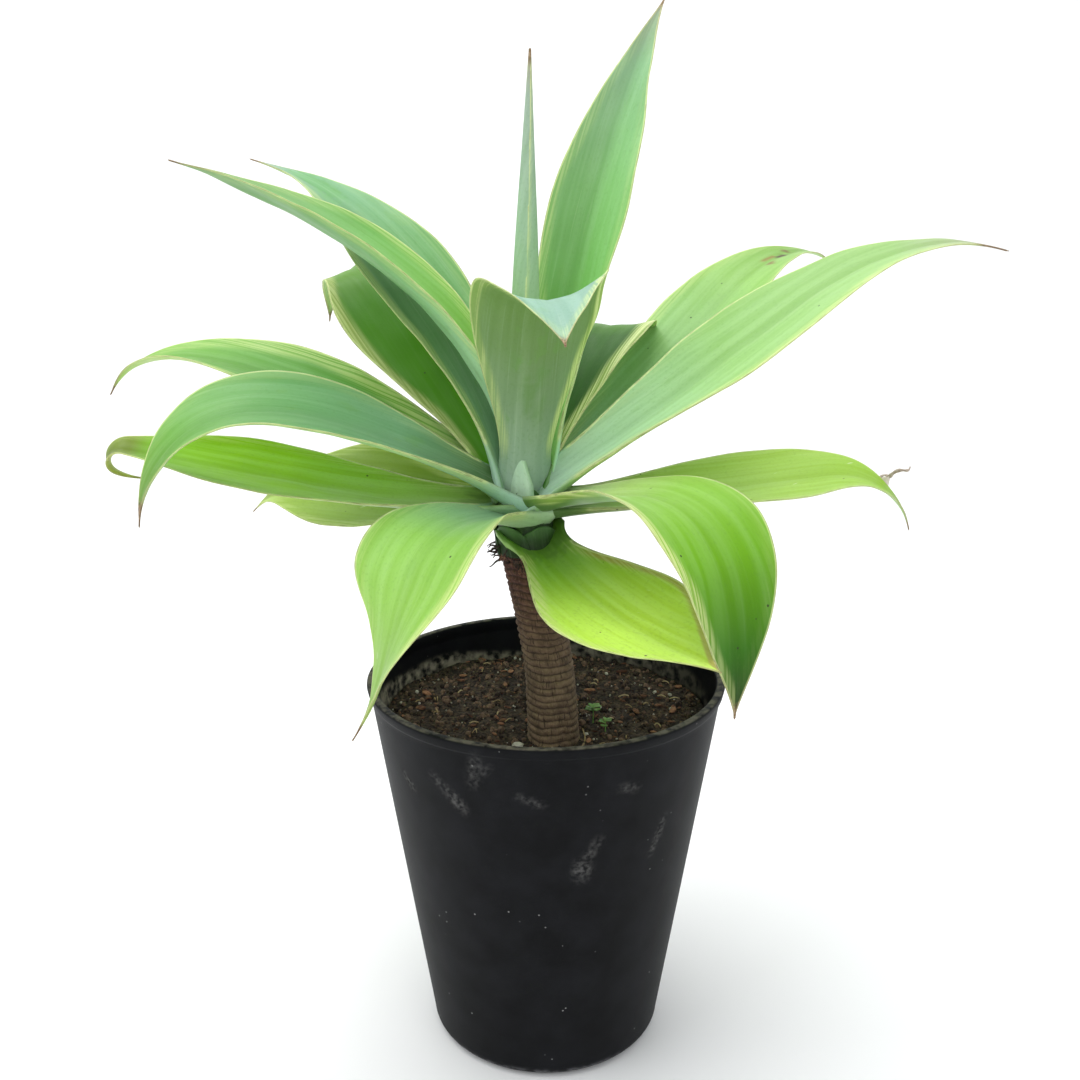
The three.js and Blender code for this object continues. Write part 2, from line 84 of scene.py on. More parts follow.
# What a leaf has when its own row doesn't say.
PLAIN_LEAF = {"turn": [(0, 0)], "roll": [(0, 0)], "cup": CUP, "widest": 0.56, "upper": GROWN, "under": UNDER,
              "band_width": 9.5, "crease": 0.9, "half_shading": 0.05, "thread": 1.5, "dry": 0.025, "specks": 0.05,
              "heel": 0, "rust": 0, "blush": 0, "marks": []}
LEAVES = {
    "leaf_01": {
        "bearing": 281, "base": (-14, -10, 432), "length": 262, "width": 94,
        "pitch": [(0, 76), (0.3, 64), (0.5, 42), (0.68, 2), (1, -24)],
        "turn": [(0, 0), (1, -6)], "roll": [(0, 0), (1, 5)],
        "cup": [(0, 60), (0.35, 40), (0.7, 46), (1, 42)],
        "upper": [(0, "#91b2a3"), (1, "#88ad99")],
        "under": [(0, "#9ab59d"), (0.22, "#839c79"), (0.4, "#74915d"), (0.6, "#708f50"), (1, "#7d9e5c")],
        "bands": (0.7, 1.3), "bloom": 0.8,
        "marks": [("under", 0.27, -0.1, 20, 5, "#5f8a3e", 0.4), ("under", 0.33, 0.15, 12, 4, "#64904a", 0.4),
                  ("under", 0.22, 0.2, 13, 4, "#67914c", 0.35), ("under", 0.38, -0.3, 16, 3, "#6a9650", 0.3)],
    },
    "leaf_02": {
        "bearing": 38, "base": (-2, 9, 428), "length": 352, "width": 72,
        "pitch": [(0, 80), (0.35, 77), (0.6, 71), (1, 58)],
        "roll": [(0, 6), (0.5, 10), (1, 10)],
        "cup": [(0, 50), (0.35, 28), (0.7, 16), (1, 20)],
        "upper": [(0, "#87c068"), (0.35, "#71ac56"), (0.6, "#74a862"), (0.85, "#77a073"), (1, "#7b8670")],
        "under": YOUNG, "bands": (0.15, 0.35), "bloom": 0.5, "specks": 0, "half_shading": 0.2, "thread": 1,
    },
    "leaf_03": {
        "bearing": 182, "base": (-24, -1, 432), "length": 328, "width": 92,
        "pitch": [(0, 86), (0.12, 74), (0.35, 51), (0.6, 35), (1, 16)],
        "turn": [(0, 0), (0.3, 0), (0.7, 8)], "roll": [(0, 0), (0.6, -8), (1, 0)],
        "cup": [(0, 60), (0.35, 42), (0.7, 30), (1, 26)],
        "upper": [(0, "#9dc291"), (0.3, "#7eb14d"), (0.6, "#6ca551"), (1, "#688a5b")],
        "under": [(0, "#bfddbe"), (0.3, "#acdaa6"), (0.6, "#86be79"), (1, "#80a470")],
        "bands": (0.4, 0.6), "bloom": 0.7, "specks": 0, "crease": 2.6, "thread": 1,
    },
    "leaf_04": {
        "bearing": 48, "base": (-8, 8, 428), "length": 224, "width": 84,
        "pitch": [(0, 62), (0.35, 53), (0.54, 32), (0.7, -12), (1, -64)],
        "turn": [(0, 0), (0.4, 6), (1, 30)],
        # The dark green is partly the leaf's own, with little bloom, and partly painted shade from the crown
        # in front.
        "upper": [(0, "#336d04"), (0.3, "#275c02"), (0.55, "#2e6103"), (0.72, "#558917"), (1, "#6c972d")],
        "bands": (1.6, 0.2), "band_width": 14, "bloom": 0.05, "specks": 0.1,
    },
    "leaf_05": {
        "bearing": 150, "base": (-28, 4, 430), "length": 316, "width": 83,
        "pitch": [(0, 74), (0.15, 66), (0.4, 52), (0.65, 42), (0.85, 26), (1, 16)],
        "turn": [(0, 0), (0.5, 0), (1, 22)], "roll": [(0, -10), (0.4, -16), (0.75, -12), (1, 0)],
        "upper": [(0, "#9cc2a0"), (0.35, "#71a262"), (0.6, "#66995c"), (0.85, "#71a178"), (1, "#7e9e8a")],
        "under": YOUNG, "bands": (0.15, 0.75), "bloom": 0.9, "specks": 0,
        "marks": [("upper", 0.84, -0.2, 30, 12, "#5f9d52", 0.6), ("upper", 0.78, 0.3, 18, 7, "#68a55c", 0.5)],
    },
    "leaf_06": {
        "bearing": 350, "base": (-4, -10, 422), "length": 356, "width": 90,
        "pitch": [(0, 40), (0.3, 38), (0.6, 38), (0.8, 18), (1, -16)],
        "turn": [(0, 0), (0.5, 2), (1, 6)], "roll": [(0, 28), (0.35, 28), (0.7, 16), (1, 0)],
        "cup": [(0, 50), (0.35, 28), (0.7, 10), (1, 10)],
        "upper": [(0, "#a9c7b1"), (0.18, "#a0c899"), (0.45, "#90bc6f"), (0.8, "#8cb369"), (1, "#a0a585")],
        "bands": (0.8, 0.1), "bloom": 0.5, "crease": 1.6, "thread": 2, "dry": 0.05,
    },
    "leaf_07": {
        "bearing": 30, "base": (0, 8, 422), "length": 318, "width": 90,
        "pitch": [(0, 39), (0.35, 40), (0.6, 42), (0.8, 20), (1, -30)],
        "roll": [(0, 8), (1, 6)],
        "upper": [(0, "#a8cea5"), (0.3, "#9bc789"), (0.7, "#8cb95e"), (1, "#6a9234")],
        "bands": (0.25, 0.4), "bloom": 0.3, "specks": 0.4, "crease": 1.2,
        "marks": [("upper", 0.83, -0.1, 7, 5, "#4a3423", 1.0), ("upper", 0.8, 0.12, 8, 3, "#8a6a35", 0.9),
                  ("upper", 0.78, -0.28, 5, 3, "#7c5c34", 0.9), ("upper", 0.86, 0.3, 4, 3, "#6b4d2e", 0.8),
                  ("upper", 0.99, 0, 10, 8, "#2a2320", 1.0)],
    },
    "leaf_08": {
        "bearing": 197, "base": (-25, -11, 420), "length": 303, "width": 88,
        "pitch": [(0, 34), (0.15, 29), (0.4, 22), (0.6, 5), (0.8, -40), (1, -85)],
        "turn": [(0, 0), (0.5, 3), (1, 10)], "roll": [(0, -12), (0.4, -19), (0.8, -10), (1, 0)],
        "cup": DEEP,
        # Painted shade: the upper face starts dark at the heel, down in the crown.
        "upper": [(0, "#3f572b"), (0.3, "#74a277"), (0.55, "#699e60"), (0.8, "#679b43"), (1, "#6a8c3a")],
        "under": YOUNG, "heel": 0.5, "bands": (0.15, 0.6), "bloom": 0.8, "thread": 1, "dry": 0.05,
    },
    "leaf_09": {
        "bearing": 170, "base": (-30, 2, 420), "length": 322, "width": 88,
        "pitch": [(0, 34), (0.15, 30), (0.4, 23), (0.65, 15), (0.82, -4), (1, -62)],
        "turn": [(0, 0), (1, 5)], "roll": [(0, -10), (0.4, -14), (1, 0)], "cup": DEEP,
        "upper": [(0, "#83b86e"), (0.3, "#538d37"), (0.6, "#5e953e"), (0.85, "#6c9f40"), (1, "#5c7c1a")],
        "under": [(0, "#a9cf7d"), (0.5, "#b9dc78"), (1, "#a2c65e")],
        "bands": (0.6, 0.8), "bloom": 0.4, "thread": 1, "band_width": 17,
    },
    "leaf_10": {
        "bearing": 138, "base": (-28, 8, 427), "length": 306, "width": 94,
        "pitch": [(0, 50), (0.35, 44), (0.62, 38), (0.74, 0), (1, -76)],
        "turn": [(0, 0), (0.7, -8), (1, -15)], "roll": [(0, -12), (0.5, -33), (1, -16)],
        # The dark green is partly the leaf's own, with little bloom, and partly painted shade from the crown
        # in front.
        "upper": [(0, "#5c9d17"), (0.3, "#4a860d"), (0.6, "#437c0a"), (0.8, "#5a8716"), (1, "#59801a")],
        "bands": (0.1, 0.5), "bloom": 0.05, "specks": 0.25, "blush": 0.5,
    },
    "leaf_11": {
        "bearing": 88, "base": (-13, 12, 424), "length": 305, "width": 88,
        "pitch": [(0, 38), (0.4, 28), (0.7, 4), (1, -50)],
        "turn": [(0, 0), (1, 8)],
        "bands": (0.5, 0.3), "bloom": 0.4, "specks": 0.2,
    },
    "leaf_12": {
        "bearing": 312, "base": (-8, -13, 415), "length": 284, "width": 90,
        "pitch": [(0, 18), (0.32, 12), (0.46, -5), (0.61, -44), (0.8, -80), (1, -90)],
        "turn": [(0, 0), (0.5, -4), (1, -14)],
        # Painted light and shade: the upper face is pale at the heel and goes nearly black down the hanging
        # tip.
        "upper": [(0, "#e6f3d3"), (0.25, "#b7d87b"), (0.42, "#8fc148"), (0.65, "#71a92b"), (0.85, "#346e01"),
                  (1, "#0b2400")],
        "under": SHADED, "bands": (1.3, 0.1), "bloom": 0.15, "specks": 0.8, "thread": 1,
        # The mark is painted shade darkening the heel.
        "marks": [("upper", 0.02, 0, 34, 40, "#41602c", 0.6)],
    },
    "leaf_13": {
        "bearing": 5, "base": (0, 2, 410), "length": 290, "width": 84,
        "pitch": [(0, 3), (0.4, 7), (0.68, 6), (0.84, -28), (1, -76)],
        "roll": [(0, 15), (1, 12)],
        "upper": [(0, "#7f9c5f"), (0.3, "#a3c65d"), (0.6, "#add257"), (0.85, "#97c236"), (1, "#73a020")],
        "under": SHADED, "heel": 0.65, "bands": (0.5, 0.2), "bloom": 0.15, "specks": 0.7,
    },
    "leaf_14": {
        "bearing": 188, "base": (-30, -6, 413), "length": 306, "width": 88,
        "pitch": [(0, 3), (0.2, 9), (0.5, 14), (0.84, 14), (0.88, -50), (0.93, -150), (1, -176)],
        "turn": [(0, 0), (1, 3)], "roll": [(0, -10), (0.5, -12), (1, -5)],
        "upper": [(0, "#9ab86d"), (0.25, "#a1ce58"), (0.5, "#99cc30"), (0.8, "#6aa00c"), (0.84, "#657a18"),
                  (1, "#5a6b18")],
        # Painted light: the under face is lightened on the folded tail, which the blade above shades.
        "under": [(0, "#94b98c"), (0.5, "#93b65c"), (0.8, "#a8cd45"), (0.84, "#aebc38"), (1, "#afb742")],
        "heel": 0.5, "bands": (0.35, 0.25), "bloom": 0.2, "specks": 0.5, "thread": 1,
    },
    "leaf_15": {
        "bearing": 158, "base": (-28, 4, 406), "length": 225, "width": 92,
        "pitch": [(0, 2), (0.4, 4), (0.7, -4), (1, -45)],
        "roll": [(0, -12), (0.5, -32), (1, -20)],
        "upper": [(0, "#7fa052"), (0.4, "#8cab3f"), (1, "#93b03c")],
        "under": [(0, "#a4c894"), (0.5, "#aed173"), (1, "#a9c65c")],
        "bands": (0.5, 0.8), "bloom": 0.15, "specks": 0.6, "half_shading": -0.22,
    },
    "leaf_16": {
        "bearing": 68, "base": (-8, 10, 416), "length": 300, "width": 88,
        "pitch": [(0, 16), (0.4, 12), (0.7, 2), (1, -40)],
        "turn": [(0, 0), (1, -6)],
        "bands": (0.4, 0.5), "bloom": 0.3, "specks": 0.4,
    },
    "leaf_17": {
        "bearing": 238, "base": (-20, -16, 406), "length": 240, "width": 92, "widest": 0.46,
        "pitch": [(0, 16), (0.2, 8), (0.34, -8), (0.55, -60), (0.75, -73), (1, -58)],
        "turn": [(0, 0), (0.5, -4), (0.7, -34), (1, -68)],
        "upper": [(0, "#99bfa4"), (0.22, "#89b582"), (0.4, "#8bbc55"), (0.6, "#93c15b"), (0.85, "#88b14d"),
                  (1, "#5f8010")],
        "under": [(0, "#b3d4a4"), (0.5, "#c2dd96"), (1, "#b4d070")],
        "heel": 0.25, "bands": (0.2, 0.7), "bloom": 0.45, "specks": 0.3, "thread": 1, "dry": 0.06,
    },
    "leaf_18": {
        "bearing": 296, "base": (-8, -16, 388), "length": 202, "width": 98,
        "pitch": [(0, -14), (0.5, -7), (0.8, -4), (1, -14)],
        "turn": [(0, 0), (0.5, 6), (1, 18)], "roll": [(0, 10)],
        "upper": [(0, "#638f30"), (0.2, "#84b241"), (0.4, "#acd34f"), (0.65, "#c3e753"), (1, "#c0e059")],
        "under": [(0, "#8fb565"), (1, "#b4d45c")],
        "heel": 0.4, "bands": (0.85, 0.3), "bloom": 0.1, "specks": 0.8,
        "half_shading": 0.12, "rust": 0.7, "thread": 0, "dry": -0.05,
    },
    "leaf_19": {
        "bearing": 105, "base": (-22, 10, 416), "length": 284, "width": 86,
        "pitch": [(0, 22), (0.4, 18), (0.7, 4), (1, -42)],
        "bands": (0.3, 0.6), "bloom": 0.3, "specks": 0.3,
    },
    "leaf_20": {
        "bearing": 86, "base": (-15, 10, 404), "length": 280, "width": 90,
        "pitch": [(0, 4), (0.4, 6), (0.7, -4), (1, -46)],
        "upper": [(0, "#93b866"), (0.5, "#9dca4c"), (1, "#a5c54a")],
        "bands": (0.5, 0.5), "bloom": 0.1, "specks": 0.7,
    },
}
LEAVES = {name: {**PLAIN_LEAF, **facts} for name, facts in LEAVES.items()}
BLADE = {"neck": 0.36, "clasp": 0.16, "clasp_fade": 0.05}
THICK = {"tip": 1.6, "taper": 2.2, "foot": 7, "foot_fade": 0.11, "edge": 0.85}
HEEL = {"stations": 3, "step": 4.5}
STATIONS, COLUMNS, STEPS = 112, 27, 400

# The camera: its place in metres, how many degrees it looks down, and its lens in mm.
CAMERA = {"at": (-0.0045, -0.833, 0.622), "down": 15.7, "lens": 40, "sensor": 36}


# ---- Small helpers --------------------------------------------------------------------
def along(pairs, s):
    """Smooth value through (place, value) pairs, never past the pairs on either side."""
    place = np.array([p[0] for p in pairs], float)
    value = np.array([p[1] for p in pairs], float)
    s = np.clip(np.asarray(s, float), place[0], place[-1])
    if len(pairs) == 1:
        return np.full(s.shape, value[0])
    gap = np.diff(place)
    slope = np.diff(value) / gap
    lean = np.zeros(len(place))
    lean[0], lean[-1] = slope[0], slope[-1]
    for i in range(1, len(place) - 1):
        a, b = slope[i - 1], slope[i]
        lean[i] = 0 if a * b <= 0 else 2 * a * b / (a + b)
    i = np.clip(np.searchsorted(place, s, side="right") - 1, 0, len(gap) - 1)
    t = (s - place[i]) / gap[i]
    return ((2 * t**3 - 3 * t**2 + 1) * value[i] + (t**3 - 2 * t**2 + t) * gap[i] * lean[i]
            + (3 * t**2 - 2 * t**3) * value[i + 1] + (t**3 - t**2) * gap[i] * lean[i + 1])


def smooth_line(points, count):
    """Points spaced evenly in share along a Catmull-Rom line, as the solids' is."""
    curve = np.array([points[0], *points, points[-1]], float)
    curve[0] = 2 * curve[1] - curve[2]
    curve[-1] = 2 * curve[-2] - curve[-3]
    out = []
    for t in np.linspace(0, len(points) - 1, count):
        k = min(int(t), len(points) - 2)
        u = t - k
        a, b, c, d = curve[k:k + 4]
        out.append(0.5 * (2 * b + (c - a) * u + (2 * a - 5 * b + 4 * c - d) * u**2
                          + (3 * b - a - 3 * c + d) * u**3))
    return np.array(out)


def waver(points):
    """Smooth noise from -1 to 1 at each point of an array."""
    points = np.asarray(points, float)
    return np.array([noise.noise(p) for p in points.reshape(-1, 3)]).reshape(points.shape[:-1])


def fade(x, low, high):
    """Runs smoothly from 0 at low to 1 at high, and stays there."""
    t = np.clip((np.asarray(x, float) - low) / (high - low), 0, 1)
    return t * t * (3 - 2 * t)


def paint(code):
    """An sRGB hex colour as linear RGBA."""
    parts = [int(code[i:i + 2], 16) / 255 for i in (1, 3, 5)]
    return [*(p / 12.92 if p <= 0.04045 else ((p + 0.055) / 1.055) ** 2.4 for p in parts), 1.0]


def gradient(stops, s):
    """The linear colour at each share s, between colour stops."""
    place = [p for p, _ in stops]
    shade = np.array([paint(c)[:3] for _, c in stops])
    return np.stack([np.interp(s, place, shade[:, k]) for k in range(3)], -1)


def stain(tint, shade, amount):
    """A point colour laid over others, by an amount for each point."""
    return tint * (1 - amount[..., None]) + np.array(paint(shade)[:3]) * amount[..., None]


def put(tree, kind, inputs=(), out=None, stops=None, **settings):
    """Adds a node with its settings, values and links. Gives the node, or the output asked for."""
    made = tree.nodes.new("ShaderNode" + kind)
    for name, value in settings.items():
        setattr(made, name, value)
    for name, value in inputs.items() if isinstance(inputs, dict) else enumerate(inputs):
        if isinstance(value, bpy.types.NodeSocket):
            tree.links.new(value, made.inputs[name])
        else:
            made.inputs[name].default_value = value
    if stops:
        bar = made.color_ramp.elements
        while len(bar) < len(stops):
            bar.new(1.0)
        for step, (place, shade) in zip(bar, stops):
            step.position, step.color = place, paint(shade)
    return made if out is None else made.outputs[out]


def begin_finish(name):
    """A new material, and the way nodes are added to it."""
    material = bpy.data.materials.new(name)
    material.use_nodes = True
    material.node_tree.nodes.clear()
    return material, partial(put, material.node_tree)


def end_finish(material, add, colour, layers, relief, values):
    """Ends a finish. Layers are colours laid one over the other, each by its amount. Relief is
    the bump's strength, depth in mm and height. Values are the shader's own."""
    for shade, amount in layers:
        shade = paint(shade) if isinstance(shade, str) else shade
        colour = add("Mix", {0: amount, 6: colour, 7: shade}, 2, data_type="RGBA")
    strength, depth, height = relief
    bump = add("Bump", {"Strength": strength, "Distance": depth * MM, "Height": height}, 0)
    shader = add("BsdfPrincipled", {"Base Color": colour, "Normal": bump, **values}, 0)
    add("OutputMaterial", {"Surface": shader})
    return material


def piece(name, points, faces, material, replaces=None, slot=None, smooth=True, **layers):
    """A mesh piece from millimetre points, riding on the plant. Layers are per-point values."""
    mesh = bpy.data.meshes.new(name)
    mesh.from_pydata((np.asarray(points, float) * MM).tolist(), [], [tuple(map(int, f)) for f in faces])
    mesh.polygons.foreach_set("use_smooth", [smooth] * len(mesh.polygons))
    for layer, values in layers.items():
        values = np.asarray(values, float)
        if values.ndim == 1:
            mesh.attributes.new(layer, "FLOAT", "POINT").data.foreach_set("value", values)
        else:
            mesh.attributes.new(layer, "FLOAT_VECTOR", "POINT").data.foreach_set("vector", values.ravel())
    mesh.materials.append(material)
    mesh.update()
    made = bpy.data.objects.new(name, mesh)
    scene.collection.objects.link(made)
    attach(made, "root")
    if replaces:
        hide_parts(replaces)
    return made


def ring_faces(rings, around):
    """Four-sided faces between rings of points."""
    a = np.arange(rings - 1)[:, None] * around + np.arange(around)[None, :]
    b = np.arange(rings - 1)[:, None] * around + (np.arange(around)[None, :] + 1) % around
    return np.stack([a, b, b + around, a + around], -1).reshape(-1, 4).tolist()


def tube_faces(rings, around):
    """The faces of a tube made of rings of points, closed at both ends."""
    last = (rings - 1) * around
    return ring_faces(rings, around) + [tuple(range(around))[::-1], tuple(last + k for k in range(around))]


def sheet(grid, thick):
    """A thin closed solid from a grid of points: top, underside and rim."""
    rows, cols = grid.shape[:2]
    normal = np.cross(np.gradient(grid, axis=0), np.gradient(grid, axis=1))
    normal /= np.linalg.norm(normal, axis=-1, keepdims=True) + 1e-9
    points = np.concatenate([grid.reshape(-1, 3), (grid - normal * thick).reshape(-1, 3)])
    n = rows * cols
    at = np.arange(n).reshape(rows, cols)
    faces = []
    for i in range(rows - 1):
        for j in range(cols - 1):
            a, b, c, d = at[i, j], at[i + 1, j], at[i + 1, j + 1], at[i, j + 1]
            faces += [(a, b, c, d), (d + n, c + n, b + n, a + n)]
    border = [*at[:, 0], *at[-1, 1:], *at[:-1, -1][::-1], *at[0, 1:-1][::-1]]
    for a, b in zip(border, border[1:] + border[:1]):
        faces.append((b, a, a + n, b + n))
    return points, faces


def rod(line, radii, sides=7):
    """A round rod along a line, closed at both ends."""
    line = np.asarray(line, float)
    ahead = np.gradient(line, axis=0)
    ahead /= np.linalg.norm(ahead, axis=1, keepdims=True)
    hint = np.array([0.31, 0.17, 0.93]) if abs(ahead[0][2]) < 0.8 else np.array([0.93, 0.31, 0.17])
    rings = []
    for p, d, r in zip(line, ahead, np.broadcast_to(radii, len(line))):
        x = np.cross(hint, d)
        x /= np.linalg.norm(x)
        y = np.cross(d, x)
        a = np.linspace(0, 2 * math.pi, sides, endpoint=False)[:, None]
        rings.append(p + r * (np.cos(a) * x + np.sin(a) * y))
    return np.concatenate(rings), tube_faces(len(rings), sides)


def gather(parts):
    """Several (points, faces) pairs as one, and which part each point came from."""
    points, faces, owner, base = [], [], [], 0
    for k, (p, f) in enumerate(parts):
        points.append(p)
        faces += [tuple(i + base for i in face) for face in f]
        owner.append(np.full(len(p), k))
        base += len(p)
    return np.concatenate(points), faces, np.concatenate(owner)


# ---- Finishes -------------------------------------------------------------------------
MULTIPLY, ADD = {"operation": "MULTIPLY"}, {"operation": "ADD"}


# Living agave leaf: waxy skin over thick green flesh. It gives the eye a satin green with
# fine lengthwise streaks, a blue-grey bloom that rubs off, and a pale striped margin.
def leaf_finish(name, rough):
    material, add = begin_finish(name)
    tint, grain, rim, wear = (add("Attribute", (), "Vector", attribute_name=layer)
                              for layer in ("tint", "grain", "rim", "wear"))
    edge, band, dead = add("SeparateXYZ", [rim]).outputs
    bloom, speckled, _ = add("SeparateXYZ", [wear]).outputs
    # Streaks that run the length of the leaf: how wide and how long in mm, and their detail.
    drawn = {"fine vein": (1.0, 70, 2), "soft vein": (6.0, 150, 2), "rubbed patch": (9.0, 22, 4),
             "margin stripe": (1.3, 240, 1), "worn edge": (5.0, 9.0, 3), "mottle": (1.6, 2.6, 4)}
    streak = {}
    for what, (across, length, detail) in drawn.items():
        scaled = add("VectorMath", [grain, (1 / across, 1 / length, 1.0)], 0, **MULTIPLY)
        streak[what] = add("TexNoise", {"Vector": scaled, "Scale": 1.0, "Detail": detail}, 0)
    dried = add("TexNoise", {"Vector": grain, "Scale": 0.6, "Detail": 3.0}, 0)
    # Specks about 1 mm across lie in cells of 12 mm, and scratches 0.4 mm wide in long cells.
    speck = add("TexVoronoi", {"Vector": grain, "Scale": 0.085, "Randomness": 1.0})
    lean = add("VectorRotate", {"Vector": grain, "Angle": 0.5}, 0, rotation_type="Z_AXIS")
    long_cell = add("VectorMath", [lean, (0.16, 0.02, 1.0)], 0, **MULTIPLY)
    scratch = add("TexVoronoi", {"Vector": long_cell, "Scale": 1.0, "Randomness": 1.0})
    # How far each of them shows: its value, from what to what, and how strongly at each end.
    shown = {"lighter": (streak["soft vein"], 0.3, 0.7, 0.93, 1.06),
             "fuller": (streak["soft vein"], 0.3, 0.7, 1.05, 0.96),
             "fine": (streak["fine vein"], 0.55, 0.8, 0.0, 0.12),
             "rubbed": (streak["rubbed patch"], 0.6, 0.68, 0.0, 0.32),
             "stripe": (streak["margin stripe"], 0.4, 0.56),
             "line": (edge, 0.4, 1.2, 0.6, 0.0),
             "worn": (streak["worn edge"], 0.45, 0.6),
             "rim": (edge, 0.1, 0.45, 0.6, 0.0),
             "mottle": (streak["mottle"], 0.5, 0.75, 0.0, 0.16),
             "speck": (speck.outputs["Distance"], 0.05, 0.085, 1.0, 0.0),
             "scratch": (scratch.outputs["Distance"], 0.03, 0.07, 0.75, 0.0),
             "shine": (streak["rubbed patch"], 0.35, 0.7, rough + 0.06, rough - 0.05)}
    shown = {what: add("MapRange", facts, 0, interpolation_type="SMOOTHSTEP")
             for what, facts in shown.items()}
    # Only some of the cells hold a speck or a scratch, by how marked the leaf is.
    few = add("Math", [speckled, 0.6], 0, **MULTIPLY)
    speck_here = add("Math", [add("SeparateColor", [speck.outputs["Color"]], 0), speckled], 0,
                     operation="LESS_THAN")
    scratch_here = add("Math", [add("SeparateColor", [scratch.outputs["Color"]], 1), few], 0,
                       operation="LESS_THAN")
    pairs = {"fine": (shown["fine"], bloom), "rubbed": (shown["rubbed"], bloom), "band": (band, 0.35),
             "stripe": (add("Math", [shown["stripe"], 0.6], 0, **MULTIPLY), band),
             "worn": (shown["rim"], shown["worn"]),
             "speck": (shown["speck"], add("Math", [speck_here, 0.85], 0, **MULTIPLY)),
             "scratch": (shown["scratch"], scratch_here), "dry dullness": (dead, 0.35),
             "skin": (streak["mottle"], 0.6), "dry relief": (dried, dead)}
    amount = {what: add("Math", pair, 0, **MULTIPLY) for what, pair in pairs.items()}
    brown = add("ValToRGB", [dried], 0, stops=[(0.3, "#4a3a2c"), (0.55, "#8d7458"), (0.75, "#b9a68a")])
    flesh = add("HueSaturation", {"Color": tint, "Value": shown["lighter"], "Saturation": shown["fuller"]}, 0)
    layers = [
        ("#e7f2d8", amount["fine"]), ("#6c9c4a", amount["rubbed"]), ("#b4cf5e", amount["band"]),
        ("#dde5a2", amount["stripe"]), ("#dbe3a0", shown["line"]), ("#6d6647", amount["worn"]),
        ("#4f7a2e", shown["mottle"]), ("#2e2a1c", amount["speck"]), ("#e9f0cc", amount["scratch"]),
        (brown, dead)]
    roughness = add("Math", [amount["dry dullness"], shown["shine"]], 0, use_clamp=True, **ADD)
    height = add("Math", [amount["skin"], amount["dry relief"]], 0, **ADD)
    return end_finish(material, add, flesh, layers, (0.25, 0.6, height), {
        "Roughness": roughness, "IOR": 1.42, "Specular IOR Level": 0.3,
        "Subsurface Weight": 0.12, "Subsurface Radius": (1.0, 1.4, 0.4), "Subsurface Scale": 0.0016})


# Moulded polypropylene, black: a matte skin with a faint moulded grain, scuffed and dusty.
def plastic_finish():
    material, add = begin_finish("black_moulded_polypropylene")
    place = add("TexCoord", (), "Object")
    dust = add("Attribute", (), "Vector", attribute_name="dust")
    smear, crusted, foot = add("SeparateXYZ", [dust]).outputs
    # Blotches of each kind: how large in mm, and their detail.
    sizes = {"cloud": (28.0, 4), "broken smear": (3.0, 8), "where grit is": (40.0, 4), "crust": (7.0, 6),
             "foot dust": (6.0, 5), "moulded grain": (0.9, 2)}
    blotch = {what: add("TexNoise", {"Vector": place, "Scale": 1 / (size * MM), "Detail": detail}, 0)
              for what, (size, detail) in sizes.items()}
    # Fine white grit stuck to the wall, drawn as dots about 1 mm across.
    dot = add("TexVoronoi", {"Vector": place, "Scale": 1 / (11 * MM)}, "Distance")
    shown = {"cloud": (blotch["cloud"], 0.35, 0.7), "smear": (blotch["broken smear"], 0.38, 0.66, 0.05, 1.0),
             "dot": (dot, 0.04, 0.07, 1.0, 0.0), "grit": (blotch["where grit is"], 0.5, 0.62),
             "crust": (blotch["crust"], 0.36, 0.6), "foot": (blotch["foot dust"], 0.4, 0.62)}
    shown = {what: add("MapRange", facts, 0) for what, facts in shown.items()}
    grit = add("Math", [shown["dot"], shown["grit"]], 0, **MULTIPLY)
    pairs = {"smear": (smear, shown["smear"]), "grit": (grit, 0.55), "crust": (crusted, shown["crust"]),
             "foot": (foot, shown["foot"]), "relief": (blotch["cloud"], 3.0)}
    amount = {what: add("Math", pair, 0, **MULTIPLY) for what, pair in pairs.items()}
    layers = [
        ("#141518", shown["cloud"]), ("#6c6b69", amount["smear"]), ("#a9aaa8", amount["grit"]),
        ("#8c8577", amount["crust"]), ("#77777a", amount["foot"])]
    worn = add("Math", [smear, amount["crust"]], 0, operation="MAXIMUM")
    height = add("Math", [blotch["moulded grain"], amount["relief"]], 0, **ADD)
    roughness = add("MapRange", [worn, 0.0, 0.8, 0.52, 0.85], 0)
    return end_finish(material, add, paint("#0a0b0d"), layers, (0.18, 0.5, height), {
        "Roughness": roughness, "IOR": 1.49, "Specular IOR Level": 0.09})


# Plain natural stuff: one speckle of its grain's size in mm, shaded piece by piece.
def natural_finish(name, grain, detail, stops, relief, values):
    material, add = begin_finish(name)
    place = add("TexCoord", (), "Object")
    shade = add("Attribute", (), "Fac", attribute_name="shade")
    speck = add("TexNoise", {"Vector": place, "Scale": 1 / (grain * MM), "Detail": detail}, 0)
    blend = add("Math", [speck, shade], 0, use_clamp=True, **ADD)
    colour = add("ValToRGB", [blend], 0, stops=stops)
    return end_finish(material, add, colour, [], (*relief, speck), values)


# Potting soil: damp dark peat crumbs with bits of bark and grit. Deeply matte.
def soil_finish(name, low, high, grain, rough=0.95):
    return natural_finish(name, grain, 5.0, [(0.3, low), (0.95, high)], (0.7, 1.2),
                          {"Roughness": rough, "IOR": 1.4})
